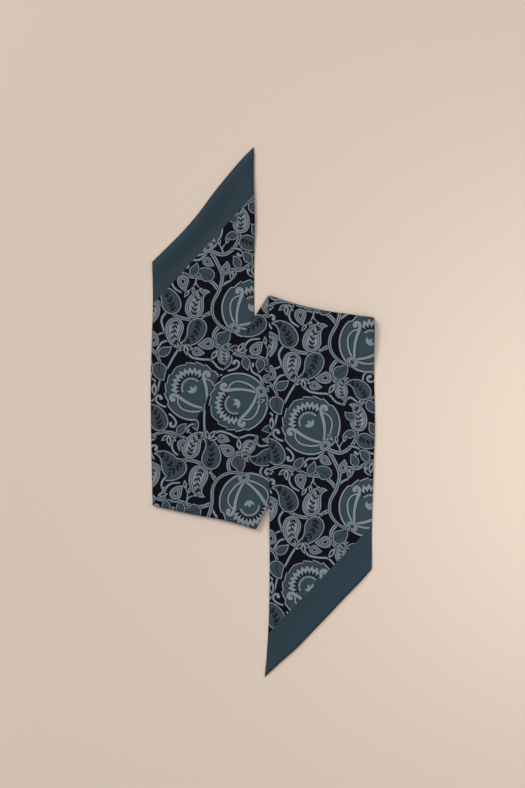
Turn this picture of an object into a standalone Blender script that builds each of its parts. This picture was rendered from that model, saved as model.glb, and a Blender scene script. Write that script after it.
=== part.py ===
"""Skinny silk scarf, laid flat in a loose Z fold.

The scarf is a flat double-sided tube: a front panel and a back panel of thin silk, sewn together along
both long edges and both slanted ends.  It lies on a table in three stretches.  The left tail lies face up.
At the lower fold it turns over, and the middle stretch lies on the left tail with the back panel up.  At the
upper fold it turns over again, and the right tail lies on the middle stretch with the front panel up.

Each panel of each stretch is one solid wall.  A stretch that begins with a fold holds that fold's turn.

Frame: metres, +Z up, +Y towards the tip of the left tail.  The origin is on the table, under the middle of
the scarf.
"""

import math
from typing import Callable, NamedTuple

import bpy
from mathutils import Vector

MM = 0.001

# Driving sizes of the cloth
WALL = 1.0 * MM             # thickness of one panel
SEAM_GAP = 0.3 * MM         # clear space between one piece and the next
PLY = WALL + SEAM_GAP       # height from one panel to the panel on it
STACK = 2 * PLY             # height from one stretch to the stretch on it

# How the cloth falls back to rest
TURN_EASE = 25.0 * MM       # length over which a fold's loft sinks to the resting height
TAIL_STEP_START = 2.5 * MM  # how far past the left tail's edge the middle stretch begins to fall
TAIL_STEP_LENGTH = 13.0 * MM
EDGE_STEP_START = 5.0 * MM  # how far past the middle stretch's edge the right tail begins to fall
EDGE_STEP_LENGTH = 17.0 * MM
STEP_LAG = 5.0 * MM         # how much later the right tail falls over the left tail's step
HEM_ROLL = 0.7 * MM         # rise of the front panel over the seam allowance inside a slanted hem
HEM_ROLL_CREST = 5.0 * MM   # distance of the crest of that rise from the hem
HEM_ROLL_END = 14.0 * MM    # distance at which it is level again
HEM_SLANT = 1.5             # length along a tail for each length square to its slanted hem

# Colours of the two panels' cloth
FRONT_COLOR = (0.045, 0.062, 0.080)
BACK_COLOR = (0.040, 0.055, 0.072)

# Mesh fineness
COLUMNS = 12                # faces across the scarf
TURN_STEPS = 10
EASE_STEPS = 5
TAIL_STEPS = 22
MIDDLE_STEPS = 22

# Corners of the scarf and ends of its two fold lines, in plan
LEFT_HEM_CORNER = Vector((-108.1, 146.4)) * MM
LEFT_HEM_TIP = Vector((-9.0, 258.4)) * MM
LOWER_FOLD_LEFT = Vector((-107.8, -91.3)) * MM
LOWER_FOLD_RIGHT = Vector((-8.2, -113.8)) * MM
UPPER_FOLD_LEFT = Vector((5.5, 113.4)) * MM
UPPER_FOLD_RIGHT = Vector((107.3, 92.4)) * MM
RIGHT_HEM_TIP = Vector((1.7, -258.4)) * MM
RIGHT_HEM_CORNER = Vector((105.8, -153.5)) * MM


class SideRow(NamedTuple):
    """How far a stretch's two long edges stand out from their straight chords, in mm."""

    along: float
    left_out: float
    right_out: float


class EndRow(NamedTuple):
    """How far each slanted hem and each fold line bows out from its chord, in mm, from left to right."""

    across: float
    left_hem: float
    right_hem: float
    lower_fold: float
    upper_fold: float


LEFT_TAIL_SIDES = [
    SideRow(0.00, 0.0, 0.0),
    SideRow(0.10, -0.7, -0.6),
    SideRow(0.20, -0.7, 0.8),
    SideRow(0.30, 0.4, 0.1),
    SideRow(0.45, 1.6, -0.3),
    SideRow(0.62, 1.6, -0.1),
    SideRow(0.80, 1.0, 0.0),
    SideRow(1.00, 0.0, 0.0),
]
MIDDLE_SIDES = [
    SideRow(0.00, 0.0, 0.0),
    SideRow(0.25, 2.0, 0.0),
    SideRow(0.45, 3.5, 0.0),
    SideRow(0.60, 4.1, 0.0),
    SideRow(0.85, 2.6, 0.0),
    SideRow(1.00, 0.0, 0.0),
]
RIGHT_TAIL_SIDES = [
    SideRow(0.00, 0.0, 0.0),
    SideRow(0.20, -1.5, 1.1),
    SideRow(0.42, -2.6, 2.8),
    SideRow(0.54, -3.0, 1.5),
    SideRow(0.65, -3.3, 0.8),
    SideRow(0.84, -3.8, -0.7),
    SideRow(0.95, -2.2, 0.1),
    SideRow(1.00, 0.0, 0.0),
]
ENDS = [
    EndRow(0.00, 0.0, 0.0, 0.0, 0.0),
    EndRow(0.15, -3.1, 1.7, 0.0, -2.8),
    EndRow(0.30, -4.6, 3.8, 0.1, -4.1),
    EndRow(0.45, -5.0, 2.7, 0.6, -4.5),
    EndRow(0.60, -1.9, 1.9, 0.7, -3.9),
    EndRow(0.75, 0.0, 1.2, 0.3, -2.4),
    EndRow(0.90, 1.0, 1.0, 0.1, -0.9),
    EndRow(1.00, 0.0, 0.0, 0.0, 0.0),
]


def smooth_step(value: float) -> float:
    """Rise from 0 to 1 with level ends."""
    value = min(max(value, 0.0), 1.0)
    return value * value * (3.0 - 2.0 * value)


def column_value(table: list, column: str, at: float) -> float:
    """Read a named column of a table at a place in its first column, along a smooth curve, in metres."""
    places = [row[0] for row in table]
    values = [getattr(row, column) for row in table]
    last = len(table) - 1
    index = max(0, min(last - 1, sum(place <= at for place in places) - 1))

    def slope(i: int) -> float:
        low, high = max(i - 1, 0), min(i + 1, last)
        return (values[high] - values[low]) / (places[high] - places[low])

    span = places[index + 1] - places[index]
    u = (at - places[index]) / span
    value = (
        (1 + 2 * u) * (1 - u) ** 2 * values[index]
        + u * (1 - u) ** 2 * span * slope(index)
        + u * u * (3 - 2 * u) * values[index + 1]
        + u * u * (u - 1) * span * slope(index + 1)
    )
    return value * MM


class Fold(NamedTuple):
    """A turn of the scarf: the ends of its outermost line and the loft of its loop."""

    left: Vector
    right: Vector
    outward: Vector
    column: str
    left_radius: float
    right_radius: float

    def radius(self, across: float) -> float:
        """Radius of the outer panel's middle surface."""
        return self.left_radius + (self.right_radius - self.left_radius) * across

    def inset(self, across: float) -> float:
        """Distance from the outermost line back to the line where the turn begins and ends."""
        return self.radius(across) + WALL / 2


def fold_between(left: Vector, right: Vector, turn: float, column: str, radii: tuple) -> Fold:
    """Make a fold whose outward side is to the left (turn 1) or right (turn -1) of its line."""
    line = (right - left).normalized()
    return Fold(left, right, Vector((-line.y, line.x)) * turn, column, *radii)


LOWER_FOLD = fold_between(LOWER_FOLD_LEFT, LOWER_FOLD_RIGHT, -1.0, "lower_fold", (2.4 * MM, 3.4 * MM))
UPPER_FOLD = fold_between(UPPER_FOLD_LEFT, UPPER_FOLD_RIGHT, 1.0, "upper_fold", (2.6 * MM, 4.2 * MM))


def inset_point(corner: Vector, towards: Vector, fold: Fold, across: float) -> Vector:
    """Move from a fold's corner along a long edge until the fold's inset is reached."""
    edge = (towards - corner).normalized()
    return corner + edge * (fold.inset(across) / -edge.dot(fold.outward))


def left_tail_rest(point: Vector) -> float:
    """Resting height of the left tail: flat on the table."""
    return 0.0


def middle_rest(point: Vector) -> float:
    """Resting height of the middle stretch: on the left tail, then down to the table beside it."""
    past_edge = point.x - LOWER_FOLD_RIGHT.x - TAIL_STEP_START
    return STACK * (1 - smooth_step(past_edge / TAIL_STEP_LENGTH))


def right_tail_rest(point: Vector) -> float:
    """Resting height of the right tail: on the middle stretch, then down to the table beyond its edge."""
    edge = (UPPER_FOLD_RIGHT - LOWER_FOLD_RIGHT).normalized()
    past_edge = (point - LOWER_FOLD_RIGHT).dot(Vector((edge.y, -edge.x))) - EDGE_STEP_START
    on_middle = 1 - smooth_step(past_edge / EDGE_STEP_LENGTH)
    return (middle_rest(point - Vector((STEP_LAG, 0.0))) + STACK) * on_middle


class End(NamedTuple):
    """One end of a stretch in plan: its two corners and its bow."""

    left: Vector
    right: Vector
    direction: Vector
    column: str


class Stretch(NamedTuple):
    """A flat run of the scarf between two ends."""

    first: End
    last: End
    sides: list
    rest: Callable

    def plan(self, along: float, across: float) -> Vector:
        """Place of a point of the cloth in plan, for fractions along and across the stretch."""
        left = self.first.left.lerp(self.last.left, along)
        right = self.first.right.lerp(self.last.right, along)
        outward = (right - left).normalized()
        left -= outward * column_value(self.sides, "left_out", along)
        right += outward * column_value(self.sides, "right_out", along)
        point = left.lerp(right, across)
        point += self.first.direction * column_value(ENDS, self.first.column, across) * (1 - along) ** 3
        point += self.last.direction * column_value(ENDS, self.last.column, across) * along ** 3
        return point


def fold_end(fold: Fold, left_towards: Vector, right_towards: Vector) -> End:
    """The end of a stretch that meets a fold."""
    left = inset_point(fold.left, left_towards, fold, 0.0)
    right = inset_point(fold.right, right_towards, fold, 1.0)
    return End(left, right, fold.outward, fold.column)


LEFT_TAIL = Stretch(
    End(LEFT_HEM_CORNER, LEFT_HEM_TIP, Vector((0.0, 1.0)), "left_hem"),
    fold_end(LOWER_FOLD, LEFT_HEM_CORNER, LEFT_HEM_TIP),
    LEFT_TAIL_SIDES,
    left_tail_rest,
)
MIDDLE = Stretch(
    fold_end(LOWER_FOLD, UPPER_FOLD_LEFT, UPPER_FOLD_RIGHT),
    fold_end(UPPER_FOLD, LOWER_FOLD_LEFT, LOWER_FOLD_RIGHT),
    MIDDLE_SIDES,
    middle_rest,
)
RIGHT_TAIL = Stretch(
    fold_end(UPPER_FOLD, RIGHT_HEM_TIP, RIGHT_HEM_CORNER),
    End(RIGHT_HEM_TIP, RIGHT_HEM_CORNER, Vector((0.0, -1.0)), "right_hem"),
    RIGHT_TAIL_SIDES,
    right_tail_rest,
)


def hem_roll(distance: float) -> float:
    """Rise of the front panel at a distance from a slanted hem."""
    if distance < HEM_ROLL_CREST:
        return HEM_ROLL * smooth_step(distance / HEM_ROLL_CREST)
    return HEM_ROLL * (1 - smooth_step((distance - HEM_ROLL_CREST) / (HEM_ROLL_END - HEM_ROLL_CREST)))


def hem_distance(stretch: Stretch, hem_along: float, along: float, across: float) -> float:
    """Distance of a point of a tail from its slanted hem."""
    hem = stretch.first if hem_along == 0.0 else stretch.last
    run = stretch.plan(along, across) - stretch.plan(hem_along, across)
    hem_line = (hem.right - hem.left).normalized()
    return abs(run.x * hem_line.y - run.y * hem_line.x)


def left_tail_point(ply: int, station: float, across: float) -> Vector:
    """A point on the middle surface of a left tail panel: ply 0 on the table, ply 1 on it."""
    plan = LEFT_TAIL.plan(station, across)
    height = WALL / 2 + ply * (PLY + hem_roll(hem_distance(LEFT_TAIL, 0.0, station, across)))
    return Vector((plan.x, plan.y, height))


class Turn(NamedTuple):
    """A fold between two stretches."""

    fold: Fold
    before: Stretch
    after: Stretch

    def floor(self, across: float) -> float:
        """Height of the cloth's underside where the turn begins."""
        return self.before.rest(self.before.plan(1.0, across))

    def turn_point(self, ply: int, turned: float, across: float) -> Vector:
        """A point on a panel's turn: turned goes from 0 under the fold to 1 on top of it."""
        radius = self.fold.radius(across) - (1 - ply) * PLY
        start = SEAM_GAP / radius
        angle = start + (math.pi - start) * turned - math.pi / 2
        base = self.before.plan(1.0, across).lerp(self.after.plan(0.0, across), turned)
        plan = base + self.fold.outward * radius * math.cos(angle)
        centre = self.floor(across) + WALL / 2 + self.fold.radius(across)
        return Vector((plan.x, plan.y, centre + radius * math.sin(angle)))

    def run_point(self, ply: int, along: float, across: float) -> Vector:
        """A point on a panel of the stretch after the fold: lofted by the turn, then at rest."""
        plan = self.after.plan(along, across)
        ease = smooth_step((plan - self.after.plan(0.0, across)).length / TURN_EASE)
        resting = self.after.rest(plan)
        loft = self.floor(across) + 2 * self.fold.radius(across) - PLY - resting
        return Vector((plan.x, plan.y, WALL / 2 + ply * PLY + resting + loft * (1 - ease)))


LOWER_TURN = Turn(LOWER_FOLD, LEFT_TAIL, MIDDLE)
UPPER_TURN = Turn(UPPER_FOLD, MIDDLE, RIGHT_TAIL)


def middle_point(ply: int, station: float, across: float) -> Vector:
    """A point on a middle panel: stations below 0 are on the lower fold's turn."""
    if station < 0.0:
        return LOWER_TURN.turn_point(ply, station + 1.0, across)
    return LOWER_TURN.run_point(ply, station, across)


def right_tail_point(ply: int, station: float, across: float) -> Vector:
    """A point on a right tail panel: stations below 0 are on the upper fold's turn."""
    if station < 0.0:
        return UPPER_TURN.turn_point(ply, station + 1.0, across)
    point = UPPER_TURN.run_point(ply, station, across)
    point.z += ply * hem_roll(hem_distance(RIGHT_TAIL, 1.0, station, across))
    return point


def even_stations(first: float, last: float, steps: int) -> list:
    """Stations spaced evenly, without the last one."""
    return [first + (last - first) * step / steps for step in range(steps)]


def stretch_length(stretch: Stretch) -> float:
    """Length of a stretch half way across."""
    return (stretch.plan(1.0, 0.5) - stretch.plan(0.0, 0.5)).length


def hem_stations(stretch: Stretch) -> list:
    """Stations close to a slanted hem, as fractions of the stretch from the hem inwards."""
    distances = [0.0, HEM_ROLL_CREST / 2, HEM_ROLL_CREST, (HEM_ROLL_CREST + HEM_ROLL_END) / 2, HEM_ROLL_END]
    return [distance * HEM_SLANT / stretch_length(stretch) for distance in distances]


def left_tail_stations() -> list:
    """Stations of the left tail, from its hem to the lower fold."""
    hem = hem_stations(LEFT_TAIL)
    return hem[:-1] + even_stations(hem[-1], 1.0, TAIL_STEPS) + [1.0]


def after_fold_stations(stretch: Stretch, steps: int) -> list:
    """Stations through a turn, its easing and the run after it."""
    eased = TURN_EASE / stretch_length(stretch)
    return (
        even_stations(-1.0, 0.0, TURN_STEPS)
        + even_stations(0.0, eased, EASE_STEPS)
        + even_stations(eased, 1.0, steps)
        + [1.0]
    )


def middle_stations() -> list:
    """Stations of the middle stretch, from the lower fold's turn to where the upper fold's turn begins."""
    return after_fold_stations(MIDDLE, MIDDLE_STEPS)


def right_tail_stations() -> list:
    """Stations of the right tail, from the upper fold's turn to its hem."""
    hem = [1.0 - station for station in reversed(hem_stations(RIGHT_TAIL))]
    return after_fold_stations(RIGHT_TAIL, TAIL_STEPS)[:-2] + hem


def silk(name: str, color: tuple) -> bpy.types.Material:
    """A silk finish in one colour."""
    material = bpy.data.materials.new(name)
    material.use_nodes = True
    shader = material.node_tree.nodes["Principled BSDF"]
    shader.inputs["Base Color"].default_value = (*color, 1.0)
    shader.inputs["Roughness"].default_value = 0.5
    shader.inputs["Metallic"].default_value = 0.0
    return material


def make_panel(collection, name: str, stations: list, point: Callable, ply: int, color: tuple) -> None:
    """Make one panel of cloth: a grid laid along its middle surface and thickened both ways."""
    bpy.ops.mesh.primitive_grid_add(x_subdivisions=COLUMNS, y_subdivisions=len(stations) - 1, size=1.0)
    panel = bpy.context.object
    panel.name = panel.data.name = name
    for vertex in panel.data.vertices:
        row = round((vertex.co.y + 0.5) * (len(stations) - 1))
        vertex.co = point(ply, stations[row], vertex.co.x + 0.5)
    facets = panel.modifiers.new("Facets", "TRIANGULATE")
    facets.quad_method = "SHORTEST_DIAGONAL"
    wall = panel.modifiers.new("Wall", "SOLIDIFY")
    wall.thickness = WALL
    wall.offset = 0.0
    wall.use_even_offset = True
    panel.data.materials.append(silk(name, color))
    for owner in panel.users_collection:
        owner.objects.unlink(panel)
    collection.objects.link(panel)


def main() -> None:
    """Build the scarf's six panels."""
    for old in list(bpy.data.objects):
        bpy.data.objects.remove(old)
    scarf = bpy.data.collections.new("Skinny silk scarf")
    bpy.context.scene.collection.children.link(scarf)
    make_panel(scarf, "left_tail_back", left_tail_stations(), left_tail_point, 0, BACK_COLOR)
    make_panel(scarf, "left_tail_front", left_tail_stations(), left_tail_point, 1, FRONT_COLOR)
    make_panel(scarf, "middle_front", middle_stations(), middle_point, 0, FRONT_COLOR)
    make_panel(scarf, "middle_back", middle_stations(), middle_point, 1, BACK_COLOR)
    make_panel(scarf, "right_tail_back", right_tail_stations(), right_tail_point, 0, BACK_COLOR)
    make_panel(scarf, "right_tail_front", right_tail_stations(), right_tail_point, 1, FRONT_COLOR)


main()
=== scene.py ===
"""Looks of the skinny silk scarf: printed silk panels laid in a loose Z fold on a pale table.

Every panel is a thin closed shell, cut along the outlines of its own print, so each colour has crisp edges
and its own ink.  Plans are drawn in millimetres in a flat plane, which runs on past a fold as the unrolled
cloth would, and are then laid over the scarf's surface.
"""

import logging
import math
from collections.abc import Callable
from dataclasses import dataclass, field
from enum import Enum
from functools import partialmethod
from typing import NamedTuple

import bpy
import numpy as np
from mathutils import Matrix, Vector
from mathutils.geometry import delaunay_2d_cdt


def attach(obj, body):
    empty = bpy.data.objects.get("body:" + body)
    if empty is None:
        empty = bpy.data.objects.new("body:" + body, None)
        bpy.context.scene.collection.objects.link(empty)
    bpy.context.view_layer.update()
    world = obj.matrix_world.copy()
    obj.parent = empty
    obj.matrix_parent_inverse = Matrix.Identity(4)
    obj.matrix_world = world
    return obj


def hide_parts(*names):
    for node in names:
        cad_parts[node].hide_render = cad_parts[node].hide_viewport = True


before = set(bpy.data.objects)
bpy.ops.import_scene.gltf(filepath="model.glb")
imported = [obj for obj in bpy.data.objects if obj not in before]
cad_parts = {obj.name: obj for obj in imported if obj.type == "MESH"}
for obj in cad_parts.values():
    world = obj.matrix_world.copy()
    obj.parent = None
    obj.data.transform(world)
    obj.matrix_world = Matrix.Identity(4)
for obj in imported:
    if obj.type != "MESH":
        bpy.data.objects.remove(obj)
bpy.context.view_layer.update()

log = logging.getLogger("scarf")

MM = 0.001

# Thickness of the doubled cloth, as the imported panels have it, in mm
WALL = 1.0
PLY = 1.3
STACK = 2 * PLY
HALF = (WALL + PLY) / 2

# How the cloth falls back to rest, in mm
TURN_EASE = 25.0
TAIL_STEP_START = 2.5
TAIL_STEP_LENGTH = 13.0
EDGE_STEP_START = 5.0
EDGE_STEP_LENGTH = 17.0
STEP_LAG = 1.5
CREASE_STEP = 2.5

# Shapes of the lifted edge and of a crease's ends, as powers, and how far a crease reaches, in spreads
LIFT_POWER = 1.5
FADE_POWER = 0.8
CREASE_REACH = 4

# The rolled edge: the seam lies near the table, and the upper panel swells over it, in mm
SEAM_DROP = 0.55
EDGE_LIP = 1.8
EDGE_LIP_SHARE = 0.7
EDGE_SWELL = 6.5
HEM_STEEPNESS = 3.0
UNDER_LIP = 1.2
SILK = 0.3

# Corners of the scarf and ends of its two fold lines in plan, from left to right, in mm
LEFT_HEM_CORNER, LEFT_HEM_TIP = np.array([(-108.1, 146.4), (-9.0, 258.4)])
LOWER_FOLD_LEFT, LOWER_FOLD_RIGHT = np.array([(-107.8, -91.3), (-7.2, -114.6)])
UPPER_FOLD_LEFT, UPPER_FOLD_RIGHT = np.array([(5.5, 114.1), (108.6, 92.3)])
RIGHT_HEM_TIP, RIGHT_HEM_CORNER = np.array([(1.7, -258.4), (105.8, -153.5)])

# Where the print stops and the bare band begins on each tail, at the left and right edge, in mm
LEFT_BAND_EDGE = np.array([(-108.1, 104.4), (-9.0, 211.9)])
RIGHT_BAND_EDGE = np.array([(1.7, -219.3), (105.8, -110.8)])

# Width of the cut, in mm
WIDTH = 100.0

# Fineness of the panels' meshes, in mm or as a number of points, rows as a share of the step, the sharpest
# mitre as a cosine, and a distance beyond any on the scarf
BOUNDARY_STEP = 2.5
GRID_STEP = 5.0
ROW_STEP = 0.87
MITRE = 0.45
GRID_MARGIN = 1.0
LINING_STEP = 4.0
LINING_MARGIN = 2.5
TURN_ROWS = 12
TURN_COLUMNS = 34
HEM_POINTS = 60
BAND_POINTS = 40
TOLERANCE = 1e-5
POINTS_AT_ONCE = 4000
FAR = 1e3

# Gaps in the flat picture of a panel, in mm, and how much smaller its lining is drawn
PICTURE_GAP = 2.0
LINING_SHARE = 0.2

# Where lines run inside an edge, in mm, and the step over which a slope is measured
EDGE_LINES = (0.15, 0.45, 0.9, 1.6, 3.0, 5.5, 9.0)
SLOPE_STEP = 0.05

# The print: its repeat, the dark edge round each motif and its thin lines, in mm
REPEAT = 160.0
SHIFTS = (-REPEAT, 0.0, REPEAT)
HALO = 0.75
LINE = 0.6
SPLIT = 0.75
SPLIT_FROM = 2.0

# A sprig's pairs of leaves: their shift, as a share of the gap between pairs, and their lean in degrees
PAIR = ((-0.12, 44.0), (0.12, -44.0))

# Stalks: how near and how far a stem may be, in mm, how much it counts that it lies behind the motif, and
# how far along a stalk bends
STALK_NEAR = 2.0
STALK_FAR = 17.0
STALK_BEHIND = 0.5
STALK_BEND = 0.42

# Small motifs between the charted ones: where and how often a place for them is tried, in mm and degrees
FILL_LEFT = -6.0
FILL_WIDTH = 128.0
FILL_TRIES = 800
FILL_SPREAD = (0.7549, 0.5698)
FILL_TURNS = tuple(range(0, 360, 20))
FOOT_ROOM = 2.4
COVER_LEFT = -40
COVER_RIGHT = 160


class Ink(Enum):
    """The colours of the print, by the order of their material slots."""

    GROUND = 0
    MIST = 1
    TEAL = 2
    BROWN = 3
    BAND = 4


class Ply(Enum):
    """The two panels of the tube where a stretch lies flat."""

    UPPER = 1
    LOWER = -1


class SideRow(NamedTuple):
    """How far a stretch's two long edges stand out from their straight chords, in mm."""

    along: float
    left_out: float
    right_out: float


class EndRow(NamedTuple):
    """How far each slanted hem and each fold line bows out from its chord, in mm, from left to right."""

    across: float
    left_hem: float
    right_hem: float
    lower_fold: float
    upper_fold: float


LEFT_TAIL_SIDES = [
    SideRow(0.00, 0.0, 0.0),
    SideRow(0.10, -0.7, -0.1),
    SideRow(0.20, -0.7, 0.9),
    SideRow(0.30, 0.4, -0.2),
    SideRow(0.45, 1.6, -0.3),
    SideRow(0.62, 1.6, -0.1),
    SideRow(0.80, 1.0, 0.0),
    SideRow(1.00, 0.0, 0.0),
]
MIDDLE_SIDES = [
    SideRow(0.00, 0.0, 0.0),
    SideRow(0.25, 2.0, 0.0),
    SideRow(0.45, 3.5, 0.0),
    SideRow(0.60, 4.1, 0.0),
    SideRow(0.85, 2.6, 0.0),
    SideRow(1.00, 0.0, 0.0),
]
RIGHT_TAIL_SIDES = [
    SideRow(0.00, 0.0, 0.0),
    SideRow(0.20, -1.5, 0.3),
    SideRow(0.42, -2.6, 1.7),
    SideRow(0.54, -3.3, 1.1),
    SideRow(0.65, -4.0, 0.6),
    SideRow(0.84, -4.5, -0.2),
    SideRow(0.95, -2.2, 0.3),
    SideRow(1.00, 0.0, 0.0),
]
ENDS = [
    EndRow(0.00, 0.0, 0.0, 0.0, 0.0),
    EndRow(0.15, -2.2, 1.3, -0.3, -1.9),
    EndRow(0.30, -4.0, 3.4, -0.5, -3.2),
    EndRow(0.45, -3.6, 2.9, -1.0, -3.6),
    EndRow(0.60, -0.4, 2.4, -1.8, -3.3),
    EndRow(0.75, 1.2, 1.5, -1.9, -2.2),
    EndRow(0.90, 1.4, 1.2, -1.3, -1.0),
    EndRow(1.00, 0.0, 0.0, 0.0, 0.0),
]


# ---------------------------------------------------------------- plane geometry


def smooth_step(value: np.ndarray) -> np.ndarray:
    """Rise from 0 to 1 with level ends."""
    value = np.clip(value, 0.0, 1.0)
    return value * value * (3.0 - 2.0 * value)


def read_column(table: list, column: str, at: np.ndarray) -> np.ndarray:
    """Read a named column of a table along a smooth curve through its rows.

    Args:
        table: Rows whose first column gives their places.
        column: Name of the column to read.
        at: Places to read it at.

    Returns:
        The values there, in the column's units.
    """
    places = np.array([row[0] for row in table])
    values = np.array([getattr(row, column) for row in table])
    slopes = np.gradient(values, places)
    slopes[1:-1] = (values[2:] - values[:-2]) / (places[2:] - places[:-2])
    at = np.clip(at, 0.0, 1.0)
    index = np.clip(np.searchsorted(places, at, side="right") - 1, 0, len(places) - 2)
    span = places[index + 1] - places[index]
    u = (at - places[index]) / span
    return (
        (1 + 2 * u) * (1 - u) ** 2 * values[index]
        + u * (1 - u) ** 2 * span * slopes[index]
        + u * u * (3 - 2 * u) * values[index + 1]
        + u * u * (u - 1) * span * slopes[index + 1]
    )


def unit(vector: np.ndarray) -> np.ndarray:
    """Scale vectors in the last axis to length 1."""
    return vector / np.maximum(np.linalg.norm(vector, axis=-1, keepdims=True), 1e-12)


def between(first: float | np.ndarray, last: float | np.ndarray, share: np.ndarray) -> np.ndarray:
    """Values a share of the way from the first to the last."""
    return first + (last - first) * share


def heading(degrees: float) -> np.ndarray:
    """Direction in the plane, counted anticlockwise from +Y."""
    angle = math.radians(degrees)
    return np.array([-math.sin(angle), math.cos(angle)])


def to_the_right(directions: np.ndarray) -> np.ndarray:
    """Directions in the plane, turned a quarter clockwise."""
    return np.stack([directions[..., 1], -directions[..., 0]], axis=-1)


def signed_area(outline: np.ndarray) -> float:
    """Area of a closed outline, positive where it runs anticlockwise."""
    x, y = outline[:, 0], outline[:, 1]
    return 0.5 * float(np.sum(x * np.roll(y, -1) - np.roll(x, -1) * y))


def anticlockwise(outline: np.ndarray) -> np.ndarray:
    """The same outline, run anticlockwise."""
    return outline if signed_area(outline) > 0 else outline[::-1]


def grown(outline: np.ndarray, amount: float) -> np.ndarray:
    """Move an anticlockwise outline out by an amount, or in where it is negative.

    Narrow tips cross themselves when they move in.  Their crossed ends run clockwise, so a winding
    count leaves them out.

    Args:
        outline: The outline.
        amount: How far it moves out, in mm.

    Returns:
        The moved outline.
    """
    edge = unit(np.roll(outline, -1, axis=0) - outline)
    out = to_the_right(edge)
    before = np.roll(out, 1, axis=0)
    mitre = unit(out + before)
    stretch = 1.0 / np.maximum(np.sum(mitre * out, axis=1), MITRE)
    return outline + mitre * (amount * stretch)[:, None]


def normals(surface: Callable[[np.ndarray], np.ndarray], points: np.ndarray) -> np.ndarray:
    """Directions square to a surface that is laid over the plane, at points of the plane.

    Args:
        surface: Lays points of the plane over the surface.
        points: Points of the unrolled plane, in mm.

    Returns:
        The directions, of length 1.
    """
    step_x, step_y = np.array([SLOPE_STEP, 0.0]), np.array([0.0, SLOPE_STEP])
    run_x = surface(points + step_x) - surface(points - step_x)
    run_y = surface(points + step_y) - surface(points - step_y)
    return unit(np.cross(run_x, run_y))


def rounded(distance: np.ndarray, reach: float) -> np.ndarray:
    """Rise from 0 to 1 over a reach, as a rounded edge does."""
    return np.sqrt(1 - (1 - np.minimum(distance / reach, 1.0)) ** 2)


def curve(points: list, step: float = 1.3) -> np.ndarray:
    """A smooth curve through points, with a point about every step.

    Args:
        points: The points.
        step: About how far apart the curve's points are.

    Returns:
        Points along the curve.
    """
    knots = np.array(points, float)
    padded = np.vstack([2 * knots[0] - knots[1], knots, 2 * knots[-1] - knots[-2]])
    pieces = []
    for a, b, c, d in zip(padded, padded[1:], padded[2:], padded[3:]):
        count = max(2, int(round(np.linalg.norm(c - b) / step)))
        u = (np.arange(count) / count)[:, None]
        pieces.append(
            0.5 * (2 * b + (c - a) * u + (2 * a - 5 * b + 4 * c - d) * u**2 + (3 * b - a - 3 * c + d) * u**3)
        )
    return np.vstack([*pieces, knots[-1:]])


def bunched(samples: int) -> np.ndarray:
    """Places from 0 to 1, closer together at both ends."""
    return (1 - np.cos(np.linspace(0.0, np.pi, samples))) / 2


def ribbon(path: np.ndarray, half_widths: np.ndarray) -> np.ndarray:
    """The anticlockwise outline of a path that is given a width."""
    right = to_the_right(unit(np.gradient(path, axis=0))) * half_widths[:, None]
    return np.vstack([path + right, (path - right)[::-1]])


class LeafShape(NamedTuple):
    """A leaf or petal that starts towards +Y, bends more and more towards its tip and is round at its foot.

    Sizes are in mm and the bend is in degrees anticlockwise.  The widest place is nearer the foot where the
    waist is below 1, and the ends are blunt where the point is below 1.  The line bends late where the power
    is high: 1 is an even arc.
    """

    length: float
    bend: float
    width: float
    waist: float
    point: float
    power: float = 1.5
    samples: int = 22

    def path(self) -> np.ndarray:
        """The middle line, from the foot, at the origin, to the tip.

        Returns:
            Points along it.
        """
        along = bunched(self.samples)
        middle = (along[1:] + along[:-1]) / 2
        turned = np.radians(self.bend) * middle**self.power
        steps = np.stack([-np.sin(turned), np.cos(turned)], axis=1) * np.diff(along)[:, None] * self.length
        return np.vstack([[0.0, 0.0], np.cumsum(steps, axis=0)])

    def outline(self) -> np.ndarray:
        """The outline."""
        swell = np.sin(np.pi * bunched(self.samples) ** self.waist) ** self.point
        return ribbon(self.path(), self.width / 2 * swell + 0.02)


def stroke(path: np.ndarray, start: float, end: float) -> np.ndarray:
    """The outline of a drawn line whose width runs evenly from start to end, with rounded ends.

    Args:
        path: The line.
        start: Its width at the start.
        end: Its width at the end.

    Returns:
        The outline.
    """
    width = np.linspace(start, end, len(path)) / 2
    direction = unit(np.gradient(path, axis=0))
    outline = ribbon(path, width)
    foot = path[0] - direction[0] * width[0]
    tip = path[-1] + direction[-1] * width[-1]
    return np.vstack([foot, outline[: len(path)], tip, outline[len(path) :]])


def disc(radius: float, centre: tuple = (0.0, 0.0), sides: int = 8, stretch: float = 1.0) -> np.ndarray:
    """A round outline, drawn out along Y by stretch."""
    angle = np.arange(sides) * 2 * np.pi / sides
    return np.stack([np.cos(angle), np.sin(angle) * stretch], axis=1) * radius + np.array(centre)


def winding(points: np.ndarray, outline: np.ndarray) -> np.ndarray:
    """How many times an outline runs anticlockwise round each point.

    Args:
        points: The points.
        outline: A closed outline.

    Returns:
        A number for each point.
    """
    a, b = outline, np.roll(outline, -1, axis=0)
    y = points[:, 1:2]
    up = (a[:, 1] <= y) & (b[:, 1] > y)
    down = (a[:, 1] > y) & (b[:, 1] <= y)
    left_of = (b[:, 0] - a[:, 0]) * (y - a[:, 1]) - (points[:, 0:1] - a[:, 0]) * (b[:, 1] - a[:, 1])
    return np.sum(up & (left_of > 0), axis=1) - np.sum(down & (left_of < 0), axis=1)


# ---------------------------------------------------------------- the print


class Patch(NamedTuple):
    """One flat area of ink, inside an anticlockwise outline."""

    ink: Ink
    outline: np.ndarray


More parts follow.
